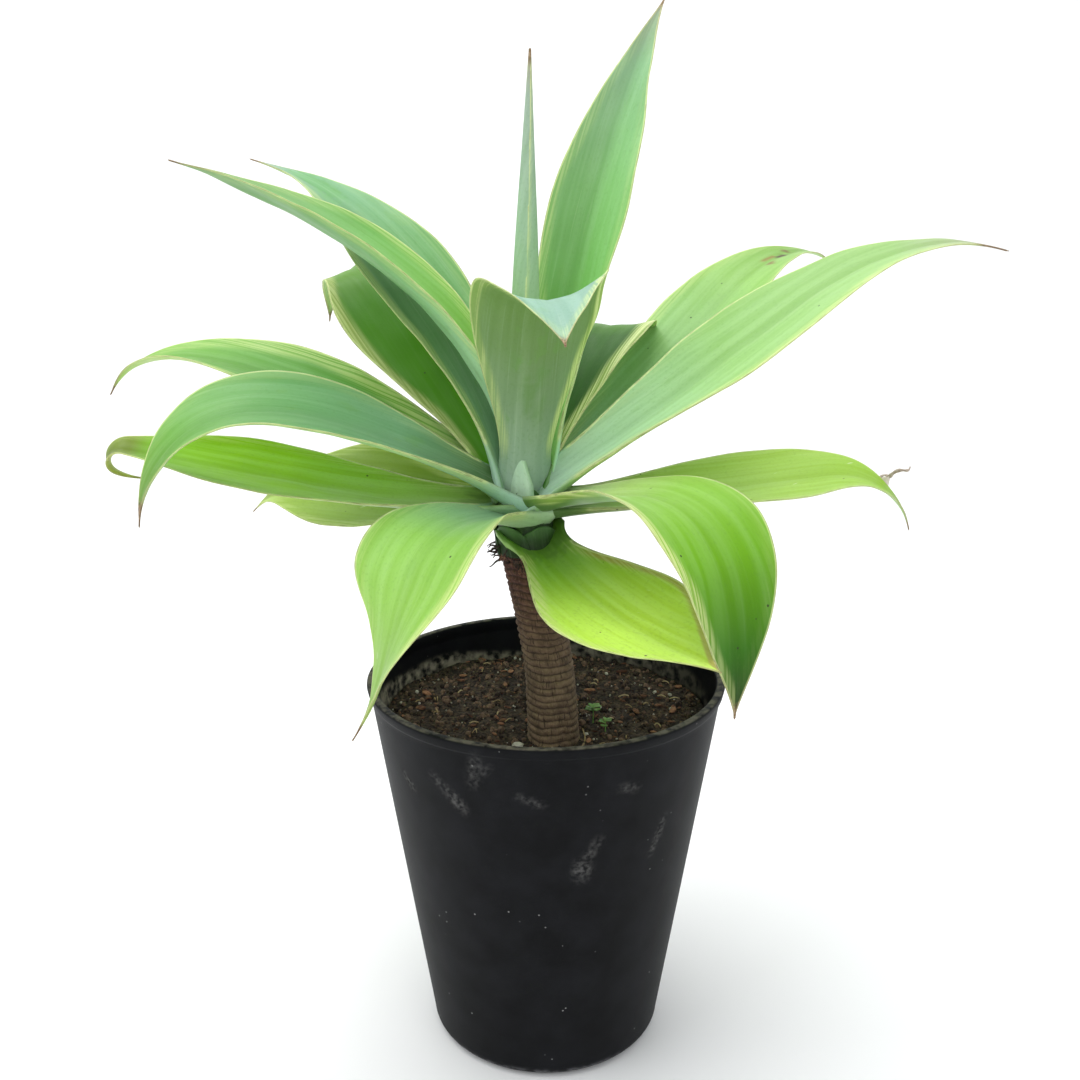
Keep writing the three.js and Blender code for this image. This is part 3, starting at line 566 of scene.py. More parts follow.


# Corky stem bark: ring scars where leaves have dropped, brown and fibrous, cracked upright. Its top is the
# green of the fleshy leaf bases, darkened with painted shade under the crown.
def bark_finish():
    material, add = begin_finish("corky_stem_bark")
    grain = add("Attribute", (), "Vector", attribute_name="grain")
    ridge = add("Attribute", (), "Vector", attribute_name="ridge")
    scar, height_up, crown = add("SeparateXYZ", [ridge]).outputs
    # Fibres of each kind: how wide and how tall in mm, and their detail.
    fibres = {"crack": (1.1, 9.0, 3), "blotch": (7.0, 5.0, 3), "fleck": (1.4, 1.2, 4)}
    fibre = {}
    for what, (around, tall, detail) in fibres.items():
        scaled = add("VectorMath", [grain, (1 / around, 1 / around, 1 / tall)], 0, **MULTIPLY)
        fibre[what] = add("TexNoise", {"Vector": scaled, "Scale": 1.0, "Detail": detail}, 0)
    shown = {"blotch": (fibre["blotch"], 0.35, 0.65), "fleck": (fibre["fleck"], 0.52, 0.75, 0.0, 0.6),
             "scar": (scar, 0.0, 0.45, 0.85, 0.0), "crack": (fibre["crack"], 0.33, 0.42, 0.75, 0.0)}
    shown = {what: add("MapRange", facts, 0) for what, facts in shown.items()}
    old, young = (add("Mix", {0: shown["blotch"], 6: paint(dark), 7: paint(pale)}, 2, data_type="RGBA")
                  for dark, pale in (("#5c4b3b", "#7d6852"), ("#43241f", "#603c31")))
    fleck = add("Math", [shown["fleck"], scar], 0, **MULTIPLY)
    # The last layer is painted shade: the stem's top under the crown goes dark green.
    layers = [(young, height_up), ("#8f7660", fleck), ("#2c1f18", shown["scar"]),
              ("#2f221b", shown["crack"]), ("#24301a", crown)]
    height = add("Math", [fibre["crack"], fibre["fleck"]], 0, **ADD)
    return end_finish(material, add, old, layers, (0.6, 1.2, height), {"Roughness": 0.86, "IOR": 1.45})


# Dry leaf-base husk: thin brown paper, torn, with nine fibres to 10 mm.
def husk_finish():
    stops = [(0.35, "#2a1b16"), (0.7, "#7a5140"), (1.0, "#b08a6e")]
    return natural_finish("dry_papery_husk", 10 / 9, 3.0, stops, (0.4, 0.6), {"Roughness": 0.8})


# Young weed leaf: thin, soft and slightly hairy, so it looks matte and a little dusty.
def weed_finish():
    return natural_finish("soft_weed_leaf", 10 / 7, 3.0, [(0.3, "#4d7430"), (0.9, "#8db463")], (0.25, 0.4),
                          {"Roughness": 0.6, "Subsurface Weight": 0.15, "Subsurface Scale": 0.001})


# ---- Leaves ---------------------------------------------------------------------------
def half_width(leaf, s):
    """Half the blade's width along it: a neck, a swell, and a curve in to the tip."""
    widest = leaf["widest"]
    t = np.clip(s / widest, 0, 1)
    clasp = BLADE["clasp"] * np.exp(-s / BLADE["clasp_fade"])
    rise = BLADE["neck"] + clasp + (1 - BLADE["neck"]) * t * t * (3 - 2 * t)
    fall = (1 - np.clip((s - widest) / (1 - widest), 0, 1) ** 1.7) ** 1.3
    return leaf["width"] / 2 * np.where(s < widest, rise, fall)


def midrib(leaf):
    """The leaf's midrib, with more stations where it bends: place, directions and share."""
    s = np.arange(STEPS + 1) / STEPS
    pitch = np.radians(along(leaf["pitch"], s))
    heading = np.radians(leaf["bearing"] + along(leaf["turn"], s))
    roll = np.radians(along(leaf["roll"], s))[:, None]
    ahead = np.stack([np.cos(pitch) * np.cos(heading), np.cos(pitch) * np.sin(heading), np.sin(pitch)], 1)
    level = np.stack([-np.sin(heading), np.cos(heading), 0 * heading], 1)
    face = np.cross(ahead, level)
    side = level * np.cos(roll) + face * np.sin(roll)
    up = face * np.cos(roll) - level * np.sin(roll)
    step = leaf["length"] / STEPS
    at = np.array(leaf["base"], float) + np.concatenate([np.zeros((1, 3)), np.cumsum(ahead[:-1] * step, 0)])
    turn = np.arccos(np.clip((ahead[1:] * ahead[:-1]).sum(1), -1, 1))
    weight = np.concatenate([[0], np.cumsum(1 / STEPS + 0.5 * turn)])
    want = np.linspace(0, weight[-1], STATIONS)
    at, *ways = (np.stack([np.interp(want, weight, v[:, k]) for k in range(3)], 1)
                 for v in (at, ahead, side, up))
    return np.interp(want, weight, s), at, *(way / np.linalg.norm(way, axis=1, keepdims=True) for way in ways)


def blade_stations(leaf):
    """The midrib run on past both ends: share, place, side, up, half width and thickness."""
    s, at, ahead, side, up = midrib(leaf)
    length, thread = leaf["length"], leaf["thread"]
    # The heel runs on into the crown, past where the solid's begins.
    for _ in range(HEEL["stations"]):
        at = np.concatenate([at[:1] - ahead[:1] * HEEL["step"], at])
        ahead, side, up = (np.concatenate([v[:1], v]) for v in (ahead, side, up))
        s = np.insert(s, 0, s[0] - HEEL["step"] / length)
    grown = np.maximum(s, 0)
    half = np.maximum(half_width(leaf, grown), 0.55)
    thick = THICK["tip"] + THICK["taper"] * (1 - grown) + THICK["foot"] * np.exp(-grown / THICK["foot_fade"])
    thick *= 1 - 0.35 * fade(s, 0.9, 1)
    # A dry point runs on past the flesh, drawn out from the tip and bending up.
    for k in range(1, 7 if thread else 1):
        t = k / 6
        bend = math.radians(12) * t
        forward = ahead[-1] * math.cos(bend) + up[-1] * math.sin(bend)
        at = np.concatenate([at, [at[-1] + forward * thread / 6]])
        ahead, side, up = (np.concatenate([v, v[-1:]]) for v in (ahead, side, up))
        s = np.append(s, 1 + t * thread / length)
        half = np.append(half, 0.6 * (1 - 0.75 * t))
        thick = np.append(thick, 0.9 * (1 - 0.6 * t))
    return s, at, side[:, None, :], up[:, None, :], half[:, None], thick[:, None]


def blade_rings(leaf, seed, s, at, side, up, span, thick):
    """Rings of points round the blade, and how far across it each point lies, from -1 to 1."""
    cup = np.radians(along(leaf["cup"], np.minimum(s, 1)))[:, None]
    u = np.sin(np.linspace(-1, 1, COLUMNS) * math.pi / 2)[None, :] * np.ones((len(s), 1))
    bend = cup * u
    centre = (at[:, None, :] + side * (span * np.sin(bend) / cup)[..., None]
              + up * (span * (1 - np.cos(bend)) / cup)[..., None])
    normal = up * np.cos(bend)[..., None] - side * np.sin(bend)[..., None]
    outward = side * np.cos(bend)[..., None] + up * np.sin(bend)[..., None]
    # The blade isn't true: its margins wave a little, and it is creased along the midrib.
    run, across = (s * leaf["length"])[:, None] + 0 * u, span * u
    shift = 1.3 * np.abs(u) ** 3 * waver(np.stack([run / 34, np.sign(u) * 3 + seed * 5.1, 0 * u], -1))
    shift += 0.7 * waver(np.stack([run / 26, across / 15, 0 * u + seed * 3.7], -1))
    shift *= fade(run, 20, 70) * fade(span, 3, 14)
    shift -= leaf["crease"] * np.exp(-(across / 4.5) ** 2) * fade(span, 6, 20) * fade(run, 30, 90)
    centre = centre + normal * shift[..., None]
    reach = (thick / 2 * np.sqrt(1 - THICK["edge"] * u * u))[..., None]
    lip = 0.3 * thick[..., None]
    rings = np.concatenate([
        centre - normal * reach, centre[:, -1:] + outward[:, -1:] * lip,
        (centre + normal * reach)[:, ::-1], centre[:, :1] - outward[:, :1] * lip], 1)
    return rings, np.concatenate([u, u[:, -1:], u[:, ::-1], u[:, :1]], 1)


def blade_faces(rows, around):
    """The blade's faces. Each end is closed by a strip of small faces from face to face."""
    last = (rows - 1) * around
    cap = [(j, around - 2 - j, around - 3 - j, j + 1) for j in range(COLUMNS - 1)]
    cap += [(COLUMNS - 1, COLUMNS + 1, COLUMNS), (0, around - 1, around - 2)]
    return ring_faces(rows, around) + cap + [tuple(last + i for i in f[::-1]) for f in cap]


def blade_look(leaf, seed, s, span, u):
    """The layers the leaf's finish reads: its colour, and where each point lies on the leaf."""
    rows, around = u.shape
    length = leaf["length"]
    s = s[:, None] * np.ones((1, around))
    mm = s * length
    upper = np.zeros(around)
    upper[COLUMNS + 1:-1] = 1
    upper[[COLUMNS, -1]] = 0.5
    upper = upper[None, :] * np.ones((rows, 1))
    edge = span * (1 - np.abs(u)) + 4 * (1 - fade(s, 0.03, 0.12))
    low, high = leaf["bands"]
    drift = waver(np.stack([mm / 45, np.sign(u) * 4 + seed, 0 * mm], -1))
    wide = leaf["band_width"]
    band = np.where(u < 0, low, high) * fade(edge, wide + 3 * drift, 0.45 * wide + 2 * drift)
    band *= 1 - 0.75 * fade(s, 0.55, 0.95)
    band *= fade(s, 0.04, 0.14)
    tint = gradient(leaf["upper"], s) * upper[..., None] + gradient(leaf["under"], s) * (1 - upper[..., None])
    # Painted light and shade: one half of the blade is made a little darker and the other a little lighter.
    tint = tint * (1 - leaf["half_shading"] * np.tanh(u * 4))[..., None]
    # The upper face is made a little darker along the channel over the midrib than towards its margins.
    tint = tint * (1 - 0.07 * np.exp(-(span * u / 7) ** 2) * upper)[..., None]
    tint = stain(tint, "#a08652", leaf["rust"] * fade(edge, 5.5, 3.5) * (u > 0) * fade(s, 0.12, 0.25))
    tint = stain(tint, "#d3b58c", leaf["blush"] * band)
    # Painted shade: the heel, down among the crown's leaves, is darkened to a deep green.
    heel = ("upper", 0, 0, 32, 40, "#41602c", leaf["heel"])
    for face, place, over, long, wide, shade, amount in [heel, *leaf["marks"]]:
        where = upper if face == "upper" else 1 - upper
        gap = np.hypot((mm - place * length) / long, (span * (u - over)) / wide)
        rag = waver(np.stack([mm / 4, span * u / 3, 0 * mm + seed], -1))
        tint = stain(tint, shade, amount * (where > 0.4) * fade(gap + 0.5 * rag, 1.0, 0.55))
    # The tip is dry, and so is a thin line up the last of each margin.
    dry_from = 1 - leaf["dry"]
    dry = fade(s + 0.008 * drift, dry_from - 0.015, dry_from + 0.012)
    dry = np.maximum(dry, 0.55 * fade(s, 0.86, 1) * fade(edge, 1.6, 0.4))
    bloom = leaf["bloom"] * (1 - 0.4 * fade(s, 0.3, 1))
    layers = {"grain": (span * u, mm, seed * 23.7 + 9 * upper), "rim": (edge, band, dry),
              "wear": (bloom, leaf["specks"] * 0.5, upper)}
    layers = {layer: np.stack([np.broadcast_to(v, mm.shape) for v in values], -1).reshape(-1, 3)
              for layer, values in layers.items()}
    return {"tint": tint.reshape(-1, 3), **layers}


def make_leaf(name, leaf, material, seed):
    """One leaf's blade, with its heel, its dry point and the layers its finish reads."""
    s, at, side, up, span, thick = blade_stations(leaf)
    rings, u = blade_rings(leaf, seed, s, at, side, up, span, thick)
    piece(name + "_blade", rings.reshape(-1, 3), blade_faces(*u.shape), material, replaces=name, slot="leaf",
          **blade_look(leaf, seed, s, span, u))


def make_sheaths(material):
    """Clasping leaf bases wrapped round the top of the stem, in the gaps between the leaves, coloured
    near-black green as painted shade, darkest at their feet.
    """
    parts, tints, grains = [], [], []
    tiers = [(383, 404, 19.0, 20.5, 5, 0.3), (395, 417, 17.5, 19.0, 5, 0.9), (408, 431, 13.5, 15.5, 4, 0.1)]
    for low, high, inner, outer, count, start in tiers:
        for k in range(count):
            middle = start + 2 * math.pi * k / count + 0.2 * noise.noise((k, low, 0))
            rows, cols = 16, 22
            grid = np.zeros((rows, cols, 3))
            for i in range(rows):
                rise = i / (rows - 1)
                z = low + (high - low) * rise
                cx, cy = stem_at(z)
                for j in range(cols):
                    v = 2 * j / (cols - 1) - 1
                    reach = inner + (outer - inner) * rise**1.5 + 0.8 * v
                    reach += 0.5 * noise.noise((v * 2, rise * 2, k))
                    a = middle + 0.86 * v * (1 - 0.25 * rise**2)
                    drop = 7 * rise * v * v
                    grid[i, j] = (cx + reach * math.cos(a), cy + reach * math.sin(a), z - drop)
            points, faces = sheet(grid, 1.8)
            parts.append((points, faces))
            up = fade(points[:, 2], low, high)
            # Painted shade: near-black green at each sheath's foot, lightening towards its top.
            tints.append(gradient([(0, "#1f3116"), (0.6, "#2f4a22"), (1, "#4c6f3d")], up))
            weft = points[:, 0] * 1.3 + points[:, 1]
            grains.append(np.stack([weft, points[:, 2], 0 * up + 9 * k + low], -1))
    points, faces, _ = gather(parts)
    tint, grain = np.concatenate(tints), np.concatenate(grains)
    plain = np.zeros((len(points), 3))
    piece("crown_sheaths_in_painted_shade", points, faces, material, slot="leaf", tint=tint, grain=grain,
          rim=plain + [9.0, 0.0, 0.0], wear=plain + [0.5, 0.1, 0.5])


def make_dry_thread(material):
    """The dried spine of leaf_13, torn off its tip and standing up from the far margin."""
    leaf = LEAVES["leaf_13"]
    s, at, _, side, up = midrib(leaf)
    k = int(np.searchsorted(s, 0.86))
    root = at[k] + side[k] * half_width(leaf, s[k]) * 0.97 + up[k] * 1.5
    t = np.linspace(0, 1, 26)
    rise = 1.5 * t + 8 * t**2 + 1.5 * np.sin(12 * t)
    line = root + np.stack([22 * t + 1.6 * np.sin(9 * t), 2 * np.sin(6 * t), rise], -1)
    parts = [rod(line, 0.75 + 0.7 * np.sin(t * 3.1) ** 2 + 0.25 * np.sin(31 * t), 9)]
    torn = np.zeros((9, 6, 3))
    for i in range(9):
        for j in range(6):
            hang = 1.0 - 1.5 * j + 0.5 * math.sin(2.1 * i + j)
            torn[i, j] = root + [1.5 + 0.9 * i - 0.2 * j, 0.5 * math.sin(i), hang]
    parts.append(sheet(torn, 0.4))
    points, faces, owner = gather(parts)
    piece("leaf_13_dry_spine", points, faces, material, slot="leaf", shade=np.array([0.05, 0.6])[owner])


def make_spear(material):
    """The youngest leaves, still rolled round each other, their margins winding up the roll."""
    rows, around = 150, 64
    s = np.linspace(0, 1, rows)[:, None]
    line = smooth_line(SPEAR_LINE, rows)
    a = np.linspace(0, 2 * math.pi, around, endpoint=False)[None, :]
    r = along(SPEAR_RADIUS, s[:, 0])[:, None]
    # Two overlapping margins, each a small step outward in the roll.
    turn = (a / (2 * math.pi) - 0.22 - 0.16 * s) % 1.0
    turn2 = (a / (2 * math.pi) - 0.7 - 0.1 * s) % 1.0
    step = 0.085 * (1 - fade(turn, 0.0, 0.5)) + 0.05 * (1 - fade(turn2, 0.0, 0.4))
    keel = 0.05 * np.exp(-((((a / (2 * math.pi)) - 0.46) % 1 - 0.5) / 0.05) ** 2)
    radius = r * (0.93 + step + keel)
    x = line[:, 0:1] + radius * np.cos(a)
    y = line[:, 1:2] + 0.7 * radius * np.sin(a)
    z = line[:, 2:3] + 0 * a
    points = np.stack([x, y, z], -1)
    seam = np.minimum(turn, turn2) * 2 * math.pi * r
    blues = [(0, "#adcc9f"), (0.25, "#9ec087"), (0.6, "#9aba96"), (0.9, "#9eb19f"), (1, "#a39a80")]
    blue = gradient(blues, s + 0 * a)
    shade = np.stack([seam, 0.35 * fade(seam, 3.5, 1.0), fade(s + 0 * a, 0.955, 0.985)], -1)
    grain = np.stack([a * r, z - 428, 0 * z + 77], -1)
    wear = np.stack([0.4 + 0 * z, 0 * z, 0 * z], -1)
    piece("spear_roll", points.reshape(-1, 3), tube_faces(rows, around), material, replaces="spear",
          slot="young_leaf", tint=blue.reshape(-1, 3), grain=grain.reshape(-1, 3), rim=shade.reshape(-1, 3),
          wear=wear.reshape(-1, 3))


# ---- Stem and its husks ---------------------------------------------------------------
def make_stem(material):
    """The bare stem: uneven ring scars about 4.5 mm apart, and fleshy leaf bases above them, marked for
    painted shade under the crown.
    """
    around = 120
    z = np.concatenate([[195, 235], np.arange(250, 436.1, 0.9)])
    path = smooth_line(STEM_LINE, 900)
    centre = np.stack([np.interp(z, path[:, 2], path[:, k]) for k in (0, 1)], 1)
    a = np.linspace(0, 2 * math.pi, around, endpoint=False)
    zz, aa = np.meshgrid(z, a, indexing="ij")
    ring = np.stack([18 * np.cos(aa), 18 * np.sin(aa), zz], -1)
    sway = waver(ring / [14, 14, 30])
    fine = waver(ring / [3.2, 3.2, 6] + 40)
    rough = waver(ring / [1.6, 1.6, 1.3] + 80)
    phase = (zz + 1.7 * sway + 0.5 * fine) / SCAR_GAP
    saw = phase % 1.0
    ridge = np.where(saw < 0.72, fade(saw, 0.0, 0.5), 1 - fade(saw, 0.72, 1.0))
    scarred = fade(zz, 250, 256) * (1 - fade(zz, 380, 392))
    radius = along(STEM_RADIUS, zz) + scarred * (1.15 * (ridge - 0.62) + 0.35 * rough) + 0.5 * sway
    cleft = waver(ring / [2.6, 2.6, 16] + 120)
    radius -= 0.6 * scarred * fade(cleft, 0.28, 0.5)
    radius += 1.4 * fade(zz, 384, 392) * (1 - fade(zz, 398, 410)) * waver(ring / [7, 7, 9] + 7)
    points = np.stack([centre[:, 0:1] + radius * np.cos(aa), centre[:, 1:2] + radius * np.sin(aa), zz], -1)
    # The third value marks the stem's top under the crown for painted shade.
    mark = np.stack([1 - scarred + scarred * ridge, fade(zz, 300, 378), fade(zz, 383, 389)], -1)
    piece("stem_bark", points.reshape(-1, 3), tube_faces(len(z), around), material, replaces="stem",
          slot="bark", grain=ring.reshape(-1, 3), ridge=mark.reshape(-1, 3))


def stem_at(z):
    """The middle of the stem at a height."""
    path = smooth_line(STEM_LINE, 300)
    return np.array([np.interp(z, path[:, 2], path[:, k]) for k in (0, 1)])


def make_husks(material):
    """Torn remains of old leaf bases under the crown, and shreds that stick out of them."""
    parts, shades = [], []
    for k in range(38):
        z0 = chance.uniform(373, 397)
        a0 = chance.uniform(0, 2 * math.pi)
        wide, tall = chance.uniform(0.28, 0.6), chance.uniform(4, 9)
        lift = chance.uniform(0.6, 2.8)
        cx, cy = stem_at(z0)
        grid = np.zeros((7, 8, 3))
        for i in range(7):
            t = i / 6
            for j in range(8):
                v = j / 7 - 0.5
                a = a0 + wide * v * (1 - 0.35 * t)
                torn = tall * t * (0.75 + 0.5 * noise.noise((v * 5, k * 3.1, 0)))
                r = float(along(STEM_RADIUS, z0)) + 0.5 + lift * t**1.6 + 0.5 * noise.noise((v * 4, t * 3, k))
                grid[i, j] = (cx + r * math.cos(a), cy + r * math.sin(a), z0 - torn)
        parts.append(sheet(grid, 0.55))
        shades.append(chance.uniform(-0.25, 0.2))
    for k in range(20):
        left = k < 13
        a0 = math.radians(chance.uniform(176, 222)) if left else chance.uniform(0, 2 * math.pi)
        z0 = chance.uniform(377, 390)
        cx, cy = stem_at(z0)
        r0 = float(along(STEM_RADIUS, z0)) - 0.5
        long = chance.uniform(6, 11.5) if left else chance.uniform(3, 6)
        drop = chance.uniform(-2, 4)
        line = [(cx + (r0 + long * t) * math.cos(a0 + 0.3 * t * noise.noise((k, 1, 0))),
                 cy + (r0 + long * t) * math.sin(a0 + 0.3 * t * noise.noise((k, 2, 0))),
                 z0 + 3 * noise.noise((k * 2.2, t * 2, 0)) - drop * t * t) for t in np.linspace(0, 1, 9)]
        parts.append(rod(line, np.linspace(1.15, 0.35, 9) * chance.uniform(0.7, 1.2), 7))
        shades.append(chance.uniform(-0.3, -0.1))
    points, faces, owner = gather(parts)
    piece("stem_husks", points, faces, material, slot="bark", shade=np.array(shades)[owner])


# ---- Pot ------------------------------------------------------------------------------
def wall_radius(z):
    """The outside of the pot's wall at a height."""
    return POT["base"] + (POT["rim"] - POT["lip_out"] - POT["base"]) * z / POT["height"]


def pot_outline():
    """The wall's section, from the middle of the foot round the lip to the middle of the floor."""
    h, wall, floor, c = POT["height"], POT["wall"], POT["floor"], POT["corner"]
    lip, out, inn = POT["lip_height"], POT["lip_out"], POT["lip_in"]
    outline = [(r, 0.0) for r in (0.0, 24.0, 40.0, 52.0, 64.0)]
    for t in np.radians(np.linspace(0, 90, 9)):
        outline.append((wall_radius(c) - c + c * math.sin(t), c - c * math.cos(t)))
    outline += [(wall_radius(z), z) for z in np.linspace(c + 2.5, h - lip - 2.4, 92)]
    outline += [(wall_radius(h - lip - 1.4) + 0.25, h - lip - 1.4),
                (wall_radius(h - lip) + out - 0.4, h - lip - 0.3),
                (wall_radius(h - lip) + out, h - lip + 0.6), (wall_radius(h) + out, h - 1.7)]
    for t in np.radians(np.linspace(15, 90, 5)):
        outline.append((wall_radius(h) + out - 1.6 + 1.6 * math.cos(t), h - 1.6 + 1.6 * math.sin(t)))
    for t in np.radians(np.linspace(90, 180, 6)):
        outline.append((wall_radius(h) - wall - inn + 1.6 + 1.6 * math.cos(t), h - 1.6 + 1.6 * math.sin(t)))
    outline += [(wall_radius(h - lip) - wall - inn + 0.6, h - lip),
                (wall_radius(h - lip - 3) - wall, h - lip - 3)]
    outline += [(wall_radius(z) - wall, z) for z in np.linspace(h - lip - 4, 243, 26)]
    outline += [(wall_radius(z) - wall, z) for z in (220, 180, 140, 100, 60, 30, c + floor)]
    outline += [(wall_radius(c) - wall - 2, 6), (wall_radius(c) - wall - 5, floor)]
    return outline + [(r, floor) for r in (64.0, 40.0, 0.0)]


def drill_drains(pot):
    """Cuts the drain holes through the floor, and gives the pot's new mesh."""
    drill = bmesh.new()
    for i in range(POT["drains"]):
        t = 2 * math.pi * (i + 0.25) / POT["drains"]
        made = bmesh.ops.create_cone(drill, cap_ends=True, segments=32, radius1=POT["drain_radius"] * MM,
                                     radius2=POT["drain_radius"] * MM, depth=4 * POT["floor"] * MM)
        bmesh.ops.translate(drill, verts=made["verts"], vec=Vector(
            (POT["drain_circle"] * math.cos(t), POT["drain_circle"] * math.sin(t), POT["floor"] / 2)) * MM)
    tool_mesh = bpy.data.meshes.new("drill")
    drill.to_mesh(tool_mesh)
    drill.free()
    tool = bpy.data.objects.new("drill", tool_mesh)
    scene.collection.objects.link(tool)
    cut = pot.modifiers.new("drain_holes", "BOOLEAN")
    cut.operation, cut.object, cut.solver = "DIFFERENCE", tool, "EXACT"
    drilled = bpy.data.meshes.new_from_object(pot.evaluated_get(bpy.context.evaluated_depsgraph_get()))
    pot.modifiers.clear()
    old, pot.data = pot.data, drilled
    bpy.data.meshes.remove(old)
    bpy.data.objects.remove(tool)
    drilled.polygons.foreach_set("use_smooth", [True] * len(drilled.polygons))
    return drilled


def add_dust(mesh):
    """Smears on the wall, dried soil inside at the soil line and on the lip, and dust at the foot."""
    co = np.zeros(len(mesh.vertices) * 3)
    mesh.vertices.foreach_get("co", co)
    x, y, z = co.reshape(-1, 3).T / MM
    round_mm = np.hypot(x, y)
    bearing = np.degrees(np.arctan2(x, -y))
    outside = (round_mm > wall_radius(z) - 1.2) & (z > 2)
    dust = np.zeros(len(z))
    for a0, z0, a1, z1, wide, amount in SMEARS:
        mid = (a0 + a1) / 2
        way = np.radians((bearing - mid + 180) % 360 - 180) * round_mm
        start, end = np.radians(a0 - mid) * 118, np.radians(a1 - mid) * 118
        run = np.array([end - start, z1 - z0])
        t = np.clip(((way - start) * run[0] + (z - z0) * run[1]) / (run @ run), 0, 1)
        gap = np.hypot(way - start - t * run[0], z - z0 - t * run[1])
        swell = 0.5 + 0.5 * np.sin(t * math.pi) ** 0.5
        dust = np.maximum(dust, amount * fade(gap, wide * 1.25, wide * 0.25) * swell)
    dust *= outside
    inside = (round_mm < wall_radius(z) - 1.4) & (z > 200)
    line = 259 + 3.5 * np.sin(3 * np.radians(bearing) + 1) + 2 * np.sin(7 * np.radians(bearing))
    crust = inside * fade(z, line + 5, line - 1) * (0.55 + 0.45 * np.cos(np.radians(bearing + 120)))
    crust = np.maximum(crust, 0.45 * fade(z, POT["height"] - 0.6, POT["height"]))
    foot = outside * fade(z, 9, 3) * 0.7
    mesh.attributes.new("dust", "FLOAT_VECTOR", "POINT").data.foreach_set(
        "vector", np.stack([dust, crust, foot], -1).ravel())


def make_pot(material):
    """A lathed wall with a rolled lip and a round foot corner, drilled for drainage."""
    around = 288
    a = np.linspace(0, 2 * math.pi, around, endpoint=False)
    body = np.array(pot_outline())[1:-1]
    rr, zz = body[:, 0:1], body[:, 1:2] + 0 * a[None, :]
    # Thin moulded walls are never quite round: the rim is out by about half a millimetre.
    warp = 0.45 * fade(zz, 60, 285) * np.sin(2 * a + 0.7)[None, :]
    warp += 0.2 * fade(zz, 60, 285) * np.sin(5 * a)[None, :]
    points = np.stack([(rr + warp) * np.cos(a), (rr + warp) * np.sin(a), zz], -1).reshape(-1, 3)
    faces = ring_faces(len(body), around)
    points = np.concatenate([points, [(0, 0, 0), (0, 0, POT["floor"])]])
    n = len(body) * around
    faces += [(n, (k + 1) % around, k) for k in range(around)]
    faces += [(n + 1, n - around + k, n - around + (k + 1) % around) for k in range(around)]
    pot = piece("pot_shell", points, faces, material, replaces="pot", slot="plastic")
    add_dust(drill_drains(pot))


# ---- Soil and weeds -------------------------------------------------------------------
def soil_surface(x, y):
    """The height of the soil's top, as the solid's is."""
    edge = np.minimum(1, np.hypot(x, y) / 118)
    return (SOIL["level"] - SOIL["fall"] * edge**4
            + SOIL["lump"] * np.sin(0.075 * x + 1.1) * np.cos(0.063 * y - 0.6)
            + 0.6 * np.sin(0.19 * x - 0.4) * np.sin(0.17 * y + 2.1))


def make_soil(material):
    """The soil body: a crumbly top over plain sides that fill the pot."""
    around = 260
    gap = POT["wall"] + 0.7
    outline = [(wall_radius(10) - gap - 6.9, 3.6), (wall_radius(10) - gap - 1.0, 14),
               (wall_radius(120) - gap, 120), (wall_radius(240) - gap, 240)]
    top = wall_radius(SOIL["level"] - 4) - gap
    reach = np.concatenate([np.linspace(top, 6, 104), [3]])
    a = np.linspace(0, 2 * math.pi, around, endpoint=False)
    rings = [np.stack([r * np.cos(a), r * np.sin(a), z + 0 * a], -1) for r, z in outline]
    for r in reach:
        x, y = r * np.cos(a), r * np.sin(a)
        flat = np.stack([x, y, 0 * x], -1)
        z = soil_surface(x, y) + 1.3 * waver(flat / 7.0 + 3) + 0.9 * waver(flat / 3.1 + 9)
        z = z + 0.5 * waver(flat / 1.5)
        rings.append(np.stack([x, y, z - (1.0 if r == top else 0.0)], -1))
    points = np.concatenate(rings)
    shade = 0.16 * waver(points / 16 + 5) - 0.1
    piece("soil_bed", points, tube_faces(len(rings), around), material, replaces="soil", slot="soil",
          shade=shade)


def lump_mesh(level):
    """A ball of one unit's radius to be pressed out of shape."""
    ball = bmesh.new()
    bmesh.ops.create_icosphere(ball, subdivisions=level, radius=1.0)
    points = np.array([v.co[:] for v in ball.verts])
    faces = [tuple(v.index for v in f.verts) for f in ball.faces]
    ball.free()
    return points, faces


def scatter(name, material, count, sizes, level, flat, spread=0.3, lift=0.1, long=1.0):
    """Loose bits on the soil: uneven lumps, turned at random, each with its own shade."""
    base, base_faces = lump_mesh(level)
    parts, shades = [], []
    while len(parts) < count:
        x, y = chance.uniform(-118, 118, 2)
        if math.hypot(x, y) > 119.5 or math.hypot(x - 5, y + 49) < 19.5:
            continue
        size = float(np.clip(chance.lognormal(math.log(sizes[0]), 0.42), sizes[0] * 0.5, sizes[1]))
        spin = np.linalg.qr(chance.normal(size=(3, 3)))[0]
        knobs = 1 + 0.32 * waver(base * 1.7 + chance.uniform(0, 90))
        shape = base * knobs[:, None] * [size * long, size, size * flat]
        z = float(soil_surface(x, y)) + lift * size + 0.3
        # Flat flakes lie nearly level; round crumbs lie any way.
        tilt = spin if flat > 0.6 else np.array([[*spin[0, :2], 0.1 * spin[0, 2]],
                                                 [*spin[1, :2], 0.1 * spin[1, 2]], [0, 0, 1.0]])
        parts.append((shape @ tilt.T + [x, y, z], base_faces))
        shades.append(chance.uniform(-spread, spread))
    points, faces, owner = gather(parts)
    piece(name, points, faces, material, slot="soil", shade=np.array(shades)[owner], smooth=False)


